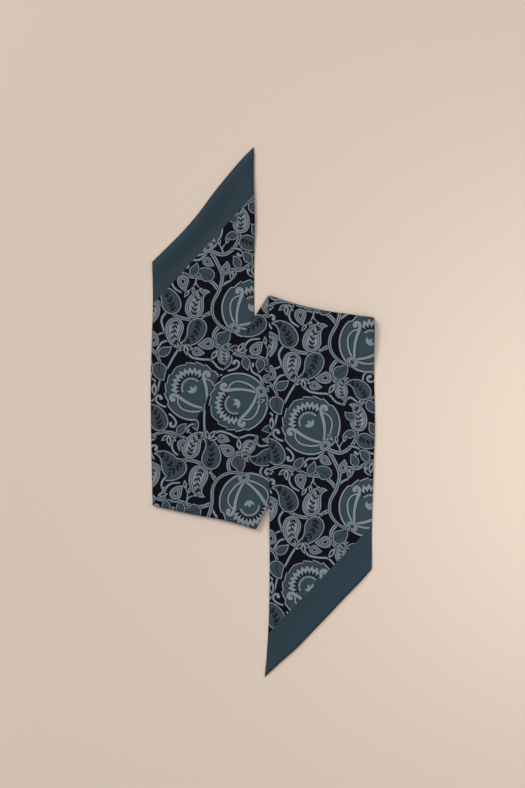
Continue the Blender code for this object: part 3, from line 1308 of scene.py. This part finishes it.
def grid_points(outline: np.ndarray, step: float) -> np.ndarray:
    """Points in rows that cover an outline's box, each row shifted by half a step.

    Args:
        outline: The outline.
        step: How far apart the points of a row are.

    Returns:
        The points.
    """
    low, high = outline.min(axis=0), outline.max(axis=0)
    rows = np.arange(low[1], high[1], step * ROW_STEP)
    columns = np.arange(low[0], high[0], step)
    x, y = np.meshgrid(columns, rows)
    x = x + (np.arange(len(rows)) % 2)[:, None] * step / 2
    return np.column_stack([x.ravel(), y.ravel()])


def triangulated(points: np.ndarray, cuts: np.ndarray) -> tuple[np.ndarray, np.ndarray, list]:
    """Fill the plane between points with triangles, cut along lines.

    Args:
        points: The points.
        cuts: Pairs of points that a line joins.

    Returns:
        The points of the triangles, the three points of each triangle, anticlockwise, and for each point the
        given ones that it stands for.
    """
    vectors = [Vector(point) for point in points.tolist()]
    found, _, faces, origin, *_ = delaunay_2d_cdt(vectors, cuts.tolist(), [], 0, TOLERANCE, False)
    return np.array([point[:] for point in found]), np.array(faces, int), origin


def added(name: str, data: bpy.types.ID) -> bpy.types.Object:
    """A new object of the scene.

    Args:
        name: Its name.
        data: Its mesh, light or camera.

    Returns:
        The object.
    """
    made = bpy.data.objects.new(name, data)
    bpy.context.scene.collection.objects.link(made)
    return made


class CutPlan:
    """Points and cut lines in the plane, from which a panel's triangles are made."""

    def __init__(self, boundary: np.ndarray) -> None:
        """Start with the panel's own edge.

        Args:
            boundary: The edge.
        """
        self.boundary = boundary
        self.points = [boundary]
        self.count = len(boundary)
        index = np.arange(len(boundary))
        self.cuts = [np.column_stack([index, np.roll(index, -1)])]

    def add_points(self, points: np.ndarray) -> None:
        """Add loose points."""
        self.points.append(points)
        self.count += len(points)

    def add_line(self, line: np.ndarray, closed: bool = False) -> None:
        """Add a line and cut along the parts of it that reach into the panel.

        Args:
            line: The line.
            closed: Whether its end joins its start.
        """
        kept = inside(line, self.boundary)
        if not kept.any():
            return
        index = np.arange(len(line))
        cuts = np.column_stack([index, np.roll(index, -1)])[: None if closed else -1]
        cuts = cuts[kept[cuts[:, 0]] | kept[cuts[:, 1]]]
        self.cuts.append(cuts + self.count)
        self.add_points(line)

    def triangles(self) -> tuple[np.ndarray, np.ndarray]:
        """The points of the panel's triangles, cut along every line, and the three points of each.

        Returns:
            The points, and the number of each triangle's three.
        """
        places, corners, _ = triangulated(np.vstack(self.points), np.vstack(self.cuts))
        corners = corners[inside(places[corners].mean(axis=1), self.boundary)]
        used, corners = np.unique(corners, return_inverse=True)
        return places[used], corners.reshape(-1, 3)


def open_edges(corners: np.ndarray) -> np.ndarray:
    """Edges that only one triangle has.

    Args:
        corners: The three points of each triangle.

    Returns:
        The two points of each edge.
    """
    edges = np.vstack([corners[:, [0, 1]], corners[:, [1, 2]], corners[:, [2, 0]]])
    ordered = np.sort(edges, axis=1)
    _, first, counts = np.unique(ordered, axis=0, return_index=True, return_counts=True)
    return edges[first[counts == 1]]


@dataclass(frozen=True)
class PrintLay:
    """How the repeat lies on a panel: where its corner is, and how it is turned or mirrored."""

    corner: tuple
    turn: float = 0.0
    mirror: bool = False


@dataclass
class Panel:
    """One panel of silk of one stretch of the scarf: its cut, its print and its shape."""

    node: str
    stretch: Stretch
    ply: Ply
    lay: PrintLay
    creases: list
    boundary: np.ndarray = field(init=False)

    def __post_init__(self) -> None:
        """Work out the panel's edge."""
        self.boundary = self.stretch.boundary()

    def on_band(self, points: np.ndarray) -> np.ndarray:
        """Whether points lie on the bare band by the slanted hem.

        Args:
            points: Points of the unrolled plane, in mm.

        Returns:
            True or False for each point.
        """
        if self.stretch.band_edge is None:
            return np.zeros(len(points), bool)
        start, stop = self.stretch.band_edge
        beyond = to_the_right(unit(stop - start))
        if (self.stretch.hem.left - start) @ beyond < 0:
            beyond = -beyond
        return (points - start) @ beyond > 0

    def patches(self, repeat: list) -> list:
        """The patches of the print that reach this panel, in the order in which they are printed.

        Args:
            repeat: The patches of one repeat.

        Returns:
            The patches.
        """
        low, high = self.boundary.min(axis=0), self.boundary.max(axis=0)
        up = heading(self.lay.turn)
        reach = (self.boundary - np.array(self.lay.corner)) @ up / REPEAT
        patches = []
        for index in range(math.floor(reach.min()) - 1, math.ceil(reach.max()) + 1):
            corner = np.array(self.lay.corner) + up * REPEAT * index
            for patch in placed(repeat, corner, self.lay.turn, 1.0, self.lay.mirror):
                if (patch.outline.max(axis=0) > low).all() and (patch.outline.min(axis=0) < high).all():
                    patches.append(patch)
        return patches

    def edge_lines(self) -> list:
        """Lines that run inside the long edges and the hem, where the panel rolls over.

        Returns:
            The lines.
        """
        lines, hem = [], self.stretch.hem
        centre = self.boundary.mean(axis=0)
        for right_side in (False, True):
            edge = self.stretch.side(right_side)
            inward = to_the_right(unit(np.gradient(edge, axis=0)))
            inward = inward * np.sign(np.sum((centre - edge) * inward, axis=1).mean())
            lines += [edge + inward * distance for distance in EDGE_LINES]
        if hem is not None:
            edge = hem.points(np.linspace(0.0, 1.0, HEM_POINTS))
            slant = abs(float(to_the_right(unit(hem.right - hem.left)) @ hem.direction))
            lines += [edge - hem.direction * distance / slant for distance in EDGE_LINES]
        return lines

    def turn_lines(self) -> list:
        """Lines round the turn at the panel's first end.

        Returns:
            The lines, none where the stretch begins with no turn.
        """
        if self.stretch.fold is None:
            return []
        across = np.linspace(0.0, 1.0, TURN_COLUMNS)
        top, start = self.stretch.first.points(across), self.stretch.unrolled(across)
        return [top + (start - top) * step / TURN_ROWS for step in range(TURN_ROWS)]

    def inks(self, centres: np.ndarray, patches: list) -> np.ndarray:
        """The ink on each of a number of places: that of the last patch printed there.

        Args:
            centres: The places.
            patches: The patches, in the order in which they are printed.

        Returns:
            The number of the ink on each.
        """
        order = np.argsort(centres[:, 1])
        sorted_centres = centres[order]
        inks = np.full(len(centres), Ink.GROUND.value)
        for ink, outline in patches:
            low, high = outline.min(axis=0), outline.max(axis=0)
            rows = slice(*np.searchsorted(sorted_centres[:, 1], (low[1], high[1])))
            near = np.nonzero((sorted_centres[rows, 0] > low[0]) & (sorted_centres[rows, 0] < high[0]))[0]
            near = near + rows.start
            hit = near[winding(sorted_centres[near], outline) > 0]
            inks[order[hit]] = ink.value
        inks[self.on_band(centres)] = Ink.BAND.value
        return inks

    def skin(self, points: np.ndarray, depth: float = 0.0) -> np.ndarray:
        """Lay points of the plane over the panel's outer face, or a depth inside it.

        Args:
            points: Points of the unrolled plane, in mm.
            depth: How far under the outer face, in mm.

        Returns:
            Their places in space, in mm.
        """
        stretch = self.stretch
        hem, side = stretch.hem_distance(points), stretch.side_distance(points)
        edge = np.maximum(np.minimum(side, hem), 0.0)
        swelling = np.minimum(side, hem * HEM_STEEPNESS) / EDGE_SWELL
        turned = stretch.turned(points)
        over = EDGE_LIP_SHARE * rounded(edge, EDGE_LIP) + (1 - EDGE_LIP_SHARE) * smooth_step(swelling)
        under = rounded(edge, UNDER_LIP)
        seam = -SEAM_DROP * (1 - 2 * turned)
        crease = creased(points, self.creases)
        if self.ply is Ply.UPPER:
            offset = seam + (HALF - seam) * between(over, under, turned) - depth + crease * over
            if depth == 0.0:
                offset = offset + stretch.ridge.rise(hem)
        else:
            offset = seam - (HALF + seam) * between(under, over, turned) + depth - crease * under
        return stretch.middle_surface(points) + normals(stretch.middle_surface, points) * offset[:, None]

    def printed_face(self, patches: list) -> tuple[np.ndarray, np.ndarray, np.ndarray]:
        """The panel's outer face, cut along its print and its edges.

        Args:
            patches: The patches, in the order in which they are printed.

        Returns:
            Its points in the plane, its triangles and the ink of each triangle.
        """
        plan = CutPlan(self.boundary)
        for line in self.edge_lines() + self.turn_lines():
            plan.add_line(line)
        grid = grid_points(self.boundary, GRID_STEP)
        plan.add_points(grid[inside(grid, grown(self.boundary, -GRID_MARGIN))])
        if self.stretch.band_edge is not None:
            plan.add_line(np.linspace(*self.stretch.band_edge, BAND_POINTS))
        for patch in patches:
            if not self.on_band(patch.outline).all():
                plan.add_line(patch.outline, closed=True)
        outer, corners = plan.triangles()
        return outer, corners, self.inks(outer[corners].mean(axis=1), patches)

    def lining(self, outer: np.ndarray, corners: np.ndarray) -> tuple[np.ndarray, np.ndarray]:
        """The panel's plain inner face, which shares the points of its edge with the outer face.

        Args:
            outer: The outer face's points in the plane.
            corners: The three points of each of its triangles.

        Returns:
            The points inside the edge, and triangles that count the outer face's points first.
        """
        rim, edge_index = np.unique(open_edges(corners), return_inverse=True)
        grid = grid_points(self.boundary, LINING_STEP)
        grid = grid[inside(grid, grown(self.boundary, -LINING_MARGIN)) & (self.stretch.turned(grid) == 0.0)]
        rows = [line[1:-1] for line in self.turn_lines()]
        points = np.vstack([outer[rim], grid, *rows])
        places, made, origin = triangulated(points, edge_index.reshape(-1, 2))
        made = made[inside(places[made].mean(axis=1), self.boundary)]
        number = np.full(len(places), -1)
        for index, sources in enumerate(origin):
            rim_source = next((source for source in sources if source < len(rim)), None)
            if rim_source is not None:
                number[index] = rim[rim_source]
        fresh = np.nonzero(number < 0)[0]
        number[fresh] = len(outer) + np.arange(len(fresh))
        return places[fresh], number[made]

    def picture_places(self, plane: np.ndarray, triangles: np.ndarray, printed: int) -> np.ndarray:
        """Lay the triangles out for a flat picture: the printed face in two strips, the lining small above.

        Args:
            plane: All the points in the plane.
            triangles: All the triangles.
            printed: How many of the triangles, from the first, are of the printed face.

        Returns:
            The places of the triangles' corners, from 0 to 1.
        """
        along = self.stretch.direction
        local = np.column_stack([plane @ to_the_right(along), plane @ along])[triangles]
        centres = local[:, :, 1].mean(axis=1)
        is_printed = np.arange(len(triangles)) < printed
        in_last_half = centres > (centres.min() + centres.max()) / 2
        places = np.empty_like(local)
        width, height = PICTURE_GAP, 0.0
        for strip in (is_printed & ~in_last_half, is_printed & in_last_half):
            corner, far = local[strip].min(axis=(0, 1)), local[strip].max(axis=(0, 1))
            places[strip] = local[strip] - corner + (width, PICTURE_GAP)
            width += far[0] - corner[0] + PICTURE_GAP
            height = max(height, far[1] - corner[1] + 2 * PICTURE_GAP)
        small = local[printed:, :, ::-1] * (LINING_SHARE, -LINING_SHARE)
        places[printed:] = small - small.min(axis=(0, 1)) + (PICTURE_GAP, height)
        height += np.ptp(small[:, :, 1]) + PICTURE_GAP
        return places.reshape(-1, 2) / max(width, height)

    def build(self, repeat: list, finishes: list) -> bpy.types.Object:
        """Cut, print and shape the panel, as a thin closed shell in place of its CAD solid.

        Args:
            repeat: The patches of one repeat of the print.
            finishes: A material for each ink, in the order of the inks.

        Returns:
            The panel.
        """
        outer, corners, inks = self.printed_face(self.patches(repeat))
        lining, lining_corners = self.lining(outer, corners)
        places = np.vstack([self.skin(outer), self.skin(lining, SILK)]) * MM
        if self.ply is Ply.UPPER:
            lining_corners = lining_corners[:, ::-1]
        else:
            corners = corners[:, ::-1]
        plane, triangles = np.vstack([outer, lining]), np.vstack([corners, lining_corners])
        facing = normals(self.skin, plane) * self.ply.value
        mesh = bpy.data.meshes.new(self.node + "_silk")
        mesh.vertices.add(len(places))
        mesh.vertices.foreach_set("co", places.astype(np.float32).ravel())
        mesh.loops.add(triangles.size)
        mesh.loops.foreach_set("vertex_index", triangles.astype(np.int32).ravel())
        mesh.polygons.add(len(triangles))
        mesh.polygons.foreach_set("loop_start", np.arange(0, triangles.size, 3, dtype=np.int32))
        slots = np.concatenate([inks, np.full(len(lining_corners), Ink.GROUND.value)])
        mesh.polygons.foreach_set("material_index", slots.astype(np.int32))
        mesh.update(calc_edges=True)
        flat_maps = {
            "Weave": plane[triangles.ravel()] * MM,
            "OFBake": self.picture_places(plane, triangles, len(corners)),
        }
        for name, flat in flat_maps.items():
            mesh.uv_layers.new(name=name).data.foreach_set("uv", flat.astype(np.float32).ravel())
        mesh.shade_smooth()
        loop_facing = np.vstack([facing[corners.ravel()], -facing[lining_corners.ravel()]])
        mesh.normals_split_custom_set(loop_facing.tolist())
        for finish in finishes:
            mesh.materials.append(finish)
        log.info("%s: %d triangles", mesh.name, len(triangles))
        return added(mesh.name, mesh)

    def declare(self, panel: bpy.types.Object, rests_on: tuple) -> None:
        """Attach the panel to the root body and hide the CAD part that it stands for.

        Args:
            panel: The panel's object.
            rests_on: Names of the panels that it rests on; not used.
        """
        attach(panel, "root")
        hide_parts(self.node)
        area = signed_area(self.boundary) * MM * MM


# The creases of each panel, and the panels from the table up
LEFT_TAIL_BACK_CREASES = [
    Crease([(-98, 130), (-72, 146), (-50, 150), (-22, 178)], 7.0, -0.2),
    Crease([(-24, 150), (-44, 132), (-70, 126)], 7.5, -0.3),
    Crease([(-103, 70), (-78, 62), (-52, 70)], 8.0, -0.35),
    Crease([(-16, 20), (-38, 34), (-50, 56)], 6.5, -0.3),
    Crease([(-98, -22), (-72, -12), (-44, -22)], 8.5, -0.35),
    Crease([(-92, -62), (-74, -78), (-50, -84)], 7.0, -0.25),
]
LEFT_TAIL_FRONT_CREASES = [
    Crease([(-101, 123), (-80, 146), (-56, 170), (-26, 208)], 8.5, -1.4),
    Crease([(-30, 232), (-22, 214), (-20, 190)], 6.0, -0.3),
    Crease([(-104, 96), (-84, 84), (-62, 80), (-40, 86)], 9.0, -0.3),
    Crease([(-100, 22), (-82, 34), (-66, 52)], 8.0, -0.35),
    Crease([(-16, 128), (-40, 116), (-58, 98)], 7.0, 0.3),
    Crease([(-104, -40), (-90, -18), (-84, 4)], 7.0, -0.3),
    Crease([(-98, 52), (-76, 60), (-60, 62)], 6.0, 0.25),
]
MIDDLE_FRONT_CREASES = [
    Crease([(-82, -70), (-58, -62), (-34, -70)], 7.0, -0.35),
    Crease([(-64, -26), (-44, -16), (-20, -24)], 8.0, -0.3),
    Crease([(-34, 26), (-12, 30), (8, 18)], 7.5, -0.35),
    Crease([(10, 62), (32, 74), (58, 70)], 7.0, -0.3),
    Crease([(48, 104), (66, 88), (88, 84)], 6.0, -0.25),
]
MIDDLE_BACK_CREASES = [
    Crease([(-96, -84), (-70, -80), (-44, -86), (-22, -98)], 6.0, -0.35),
    Crease([(-88, -58), (-66, -44), (-48, -22)], 8.0, -0.35),
    Crease([(-20, -92), (-12, -70), (-10, -46)], 7.0, -0.3),
    Crease([(-40, 4), (-24, 24), (-14, 50)], 7.0, -0.3),
]
RIGHT_TAIL_BACK_CREASES = [
    Crease([(16, -208), (36, -188), (62, -170), (90, -140)], 7.5, -0.4),
    Crease([(98, 60), (74, 52), (50, 60)], 7.5, -0.3),
    Crease([(16, 24), (38, 14), (64, 20)], 8.0, -0.35),
    Crease([(102, -36), (82, -50), (66, -72)], 7.0, -0.3),
    Crease([(12, -86), (34, -100), (60, -104)], 8.0, -0.35),
    Crease([(14, -150), (30, -158), (48, -156)], 6.5, -0.25),
]
RIGHT_TAIL_FRONT_CREASES = [
    Crease([(10, -220), (32, -200), (56, -176), (88, -140)], 9.0, -0.75),
    Crease([(12, 92), (34, 82), (58, 80), (84, 72)], 8.0, -0.35),
    Crease([(98, 58), (84, 36), (78, 10)], 8.0, -0.35),
    Crease([(14, 46), (30, 30), (36, 8)], 7.0, 0.3),
    Crease([(100, -20), (80, -34), (58, -38)], 8.0, -0.35),
    Crease([(12, -60), (30, -72), (52, -74)], 7.0, -0.3),
    Crease([(96, -88), (74, -98), (52, -118)], 7.0, 0.3),
    Crease([(10, -128), (24, -140), (44, -146)], 7.0, -0.3),
]
PANELS = [
    Panel("left_tail_back", LEFT_TAIL, Ply.LOWER, PrintLay((-6.0, -70.0), 0.0, True), LEFT_TAIL_BACK_CREASES),
    Panel("left_tail_front", LEFT_TAIL, Ply.UPPER, PrintLay((-107.8, -19.5)), LEFT_TAIL_FRONT_CREASES),
    Panel("middle_front", MIDDLE, Ply.LOWER, PrintLay((33.6, -53.0), 151.0), MIDDLE_FRONT_CREASES),
    Panel("middle_back", MIDDLE, Ply.UPPER, PrintLay((-39.7, 63.8), 151.0, True), MIDDLE_BACK_CREASES),
    Panel(
        "right_tail_back", RIGHT_TAIL, Ply.LOWER, PrintLay((108.0, -20.0), 0.0, True), RIGHT_TAIL_BACK_CREASES
    ),
    Panel("right_tail_front", RIGHT_TAIL, Ply.UPPER, PrintLay((6.5, -52.7)), RIGHT_TAIL_FRONT_CREASES),
]


# ---------------------------------------------------------------- finishes


class Wire:
    """An output socket of a node, with operators that add Math nodes, or Vector Math nodes on a vector."""

    def __init__(self, board: "Board", socket: bpy.types.NodeSocket | None) -> None:
        """Hold the socket and the board that its nodes are made on."""
        self.board = board
        self.socket = socket

    def joined(self, operation: str, other: "Wire | float | tuple", swapped: bool = False) -> "Wire":
        """The result of an operation on this value and another, or on the other and this one.

        Args:
            operation: The operation.
            other: The other value.
            swapped: Whether the other comes first.

        Returns:
            The result.
        """
        values = [other, self] if swapped else [self, other]
        vector = any(isinstance(value, Wire) and value.socket.type in ("VECTOR", "RGBA") for value in values)
        kind = "ShaderNodeVectorMath" if vector else "ShaderNodeMath"
        return self.board.node(kind, {"operation": operation}, dict(enumerate(values)))

    __add__ = __radd__ = partialmethod(joined, "ADD")
    __mul__ = __rmul__ = partialmethod(joined, "MULTIPLY")
    __sub__ = partialmethod(joined, "SUBTRACT")
    __rsub__ = partialmethod(joined, "SUBTRACT", swapped=True)


class Board:
    """The nodes of a material or of the world, wired from Python expressions."""

    def __init__(self, owner: bpy.types.Material | bpy.types.World) -> None:
        """Start with no nodes.

        Args:
            owner: The material or the world.
        """
        self.owner = owner
        owner.use_nodes = True
        owner.node_tree.nodes.clear()

    def node(
        self, kind: str, settings: dict | None = None, inputs: dict | None = None, output: str | int = 0
    ) -> Wire:
        """Add a node of any type.

        Args:
            kind: Type of the node.
            settings: Its settings by name, and a ramp's places and colours as "stops".
            inputs: Values or wires for its input sockets, by name or number.
            output: The output socket that is wanted.

        Returns:
            That output.
        """
        made = self.owner.node_tree.nodes.new(kind)
        for name, value in (settings or {}).items():
            if name == "stops":
                for element, (place, colour) in zip(made.color_ramp.elements, value):
                    element.position, element.color = place, colour
            else:
                setattr(made, name, value)
        for name, value in (inputs or {}).items():
            if isinstance(value, Wire):
                self.owner.node_tree.links.new(value.socket, made.inputs[name])
            else:
                made.inputs[name].default_value = value
        return Wire(self, made.outputs[output] if len(made.outputs) else None)

    def noise(self, place: Wire, scale: float, detail: float = 2.0) -> Wire:
        """Soft noise round 0."""
        return self.node("ShaderNodeTexNoise", {}, {"Vector": place, "Scale": scale, "Detail": detail}) - 0.5

    def dyed(self, dye: tuple, shade: Wire) -> Wire:
        """A dye, given in 8-bit sRGB, made lighter or darker by a shade."""
        return self.node("ShaderNodeVectorMath", {"operation": "SCALE"}, {0: linear(dye), "Scale": shade})

    def surface(self, shader: dict) -> bpy.types.Material:
        """Give the material a Principled shader with these inputs.

        Args:
            shader: Values or wires for its input sockets, by name.

        Returns:
            The material.
        """
        cloth = self.node("ShaderNodeBsdfPrincipled", {}, shader)
        self.node("ShaderNodeOutputMaterial", {}, {"Surface": cloth})
        return self.owner


def linear(colour: tuple) -> tuple:
    """A colour in 8-bit sRGB as linear light."""
    parts = [value / 255 for value in colour]
    return tuple(part / 12.92 if part <= 0.04045 else ((part + 0.055) / 1.055) ** 2.4 for part in parts)


@dataclass(frozen=True)
class SilkFinish:
    """Dyed silk twill: one ink of the print, with uneven dye and fine slanted threads."""

    name: str
    dye: tuple
    unevenness: float = 0.10
    thread_contrast: float = 0.08
    thread_pitch: float = 0.55
    thread_rise: float = 0.03
    roughness: float = 0.55
    shine: float = 0.05
    sheen: float = 0.04
    sheen_roughness: float = 0.25
    cloud_scale: float = 70.0
    cloud_roughness: float = 0.12
    slub_scale: tuple = (260.0, 1600.0, 1.0)
    relief: float = 0.5

    def material(self) -> bpy.types.Material:
        """Build the material.

        Returns:
            The material.
        """
        board = Board(bpy.data.materials.new(self.name))
        cloth = board.node("ShaderNodeUVMap", {"uv_map": "Weave"})
        cloud = board.noise(cloth, self.cloud_scale, 3.0)
        slub = board.noise(cloth * self.slub_scale, 1.0)
        across, along = (board.node("ShaderNodeSeparateXYZ", {}, {0: cloth}, axis) for axis in "XY")
        turns = (across + along) * (math.tau / (self.thread_pitch * MM * math.sqrt(2)))
        twill = board.node("ShaderNodeMath", {"operation": "SINE"}, {0: turns})
        shade = 1 + cloud * (2 * self.unevenness) + (slub * 2 + twill * 0.25) * self.thread_contrast
        relief = {"Strength": self.relief, "Distance": self.thread_rise * MM, "Height": twill * 0.5 + slub}
        return board.surface(
            {
                "Base Color": board.dyed(self.dye, shade),
                "Roughness": self.roughness + cloud * self.cloud_roughness,
                "Specular IOR Level": self.shine,
                "Sheen Weight": self.sheen,
                "Sheen Roughness": self.sheen_roughness,
                "Normal": board.node("ShaderNodeBump", {}, relief),
            }
        )


FINISHES = {
    Ink.GROUND: SilkFinish("silk_ground", (10, 8, 19)),
    Ink.MIST: SilkFinish("silk_mist", (118, 129, 138)),
    Ink.TEAL: SilkFinish("silk_teal", (50, 65, 74)),
    Ink.BROWN: SilkFinish("silk_brown", (29, 16, 18)),
    Ink.BAND: SilkFinish("silk_band", (42, 57, 67), unevenness=0.05, shine=0.09),
}


# ---------------------------------------------------------------- table, light and camera


class Lamp(NamedTuple):
    """A soft square lamp: where it stands and looks, its side, its power and how wide it spreads."""

    name: str
    spot: tuple
    aim: tuple
    size: float
    power: float
    spread: float = math.pi

    def place(self, colour: tuple) -> None:
        """Add the lamp to the scene, in a colour.

        Args:
            colour: Its colour, as linear light.
        """
        light = bpy.data.lights.new(self.name, "AREA")
        light.size, light.energy, light.spread, light.color = self.size, self.power, self.spread, colour
        lamp = added(self.name, light)
        lamp.location = self.spot
        lamp.rotation_euler = (Vector(self.aim) - Vector(self.spot)).to_track_quat("-Z", "Y").to_euler()


@dataclass(frozen=True)
class Studio:
    """The pale table, soft light from the upper left, a small lamp at the right and a camera straight above."""

    table_size: float = 3.0
    table_colour: tuple = (216, 200, 186)
    table_roughness: float = 0.9
    table_shine: float = 0.1
    grain_scale: float = 900.0
    grain_contrast: float = 0.03
    lamps: tuple = (
        Lamp("key_lamp", (-3.2, 3.3, 4.6), (0.0, 0.0, 0.0), 2.4, 207.0),
        Lamp("side_lamp", (0.46, -0.045, 0.52), (0.34, -0.045, 0.0), 0.25, 0.31, 1.5),
    )
    lamp_colour: tuple = (1.0, 0.985, 0.965)
    room_light: float = 0.75
    walls: tuple = (0.0, (0.25, 0.246, 0.242, 1.0))
    ceiling: tuple = (0.9, (1.0, 0.985, 0.97, 1.0))
    view_centre: tuple = (-0.00054, 0.0176)
    view_height: float = 0.7688
    camera_height: float = 1.6
    sensor: float = 36.0

    def table(self) -> bpy.types.Object:
        """A plain pale table top.

        Returns:
            The table top.
        """
        half = self.table_size / 2
        corners = [(-half, -half, 0.0), (half, -half, 0.0), (half, half, 0.0), (-half, half, 0.0)]
        mesh = bpy.data.meshes.new("table_top")
        mesh.from_pydata(corners, [], [(0, 1, 2, 3)])
        board = Board(bpy.data.materials.new("table_paper"))
        grain = board.noise(board.node("ShaderNodeTexCoord", output="Object"), self.grain_scale)
        paper = {
            "Base Color": board.dyed(self.table_colour, 1 + grain * self.grain_contrast),
            "Roughness": self.table_roughness,
            "Specular IOR Level": self.table_shine,
        }
        mesh.materials.append(board.surface(paper))
        return added("table_top", mesh)

    def camera(self) -> None:
        """A camera that looks straight down, with the photo's top at +Y."""
        lens = bpy.data.cameras.new("camera_above")
        lens.sensor_width = self.sensor
        lens.lens = self.sensor * self.camera_height / self.view_height
        camera = added("camera_above", lens)
        camera.location = (*self.view_centre, self.camera_height)
        bpy.context.scene.camera = camera

    def room(self) -> bpy.types.World:
        """The room's soft light: dim walls all round under a bright ceiling.

        Returns:
            The world.
        """
        board = Board(bpy.data.worlds.new("room"))
        place = board.node("ShaderNodeTexCoord", output="Generated")
        height = board.node("ShaderNodeSeparateXYZ", {}, {0: place}, "Z")
        glow = board.node("ShaderNodeValToRGB", {"stops": (self.walls, self.ceiling)}, {"Fac": height})
        light = board.node("ShaderNodeBackground", {}, {"Color": glow, "Strength": self.room_light})
        board.node("ShaderNodeOutputWorld", {}, {"Surface": light})
        return board.owner

    def build(self) -> None:
        """Set up the whole studio."""
        self.table()
        for lamp in self.lamps:
            lamp.place(self.lamp_colour)
        self.camera()
        scene = bpy.context.scene
        scene.view_settings.view_transform = "Standard"
        scene.world = self.room()


def main() -> None:
    """Build every panel, then the studio, and log each panel's triangle count."""
    logging.basicConfig(level=logging.INFO, format="%(name)s: %(message)s")
    repeat = repeat_patches()
    finishes = [FINISHES[ink].material() for ink in Ink]
    rests_on = ()
    for panel in PANELS:
        silk = panel.build(repeat, finishes)
        panel.declare(silk, rests_on)
        rests_on = (silk.name,)
    Studio().build()


if __name__ == "__main__":
    main()
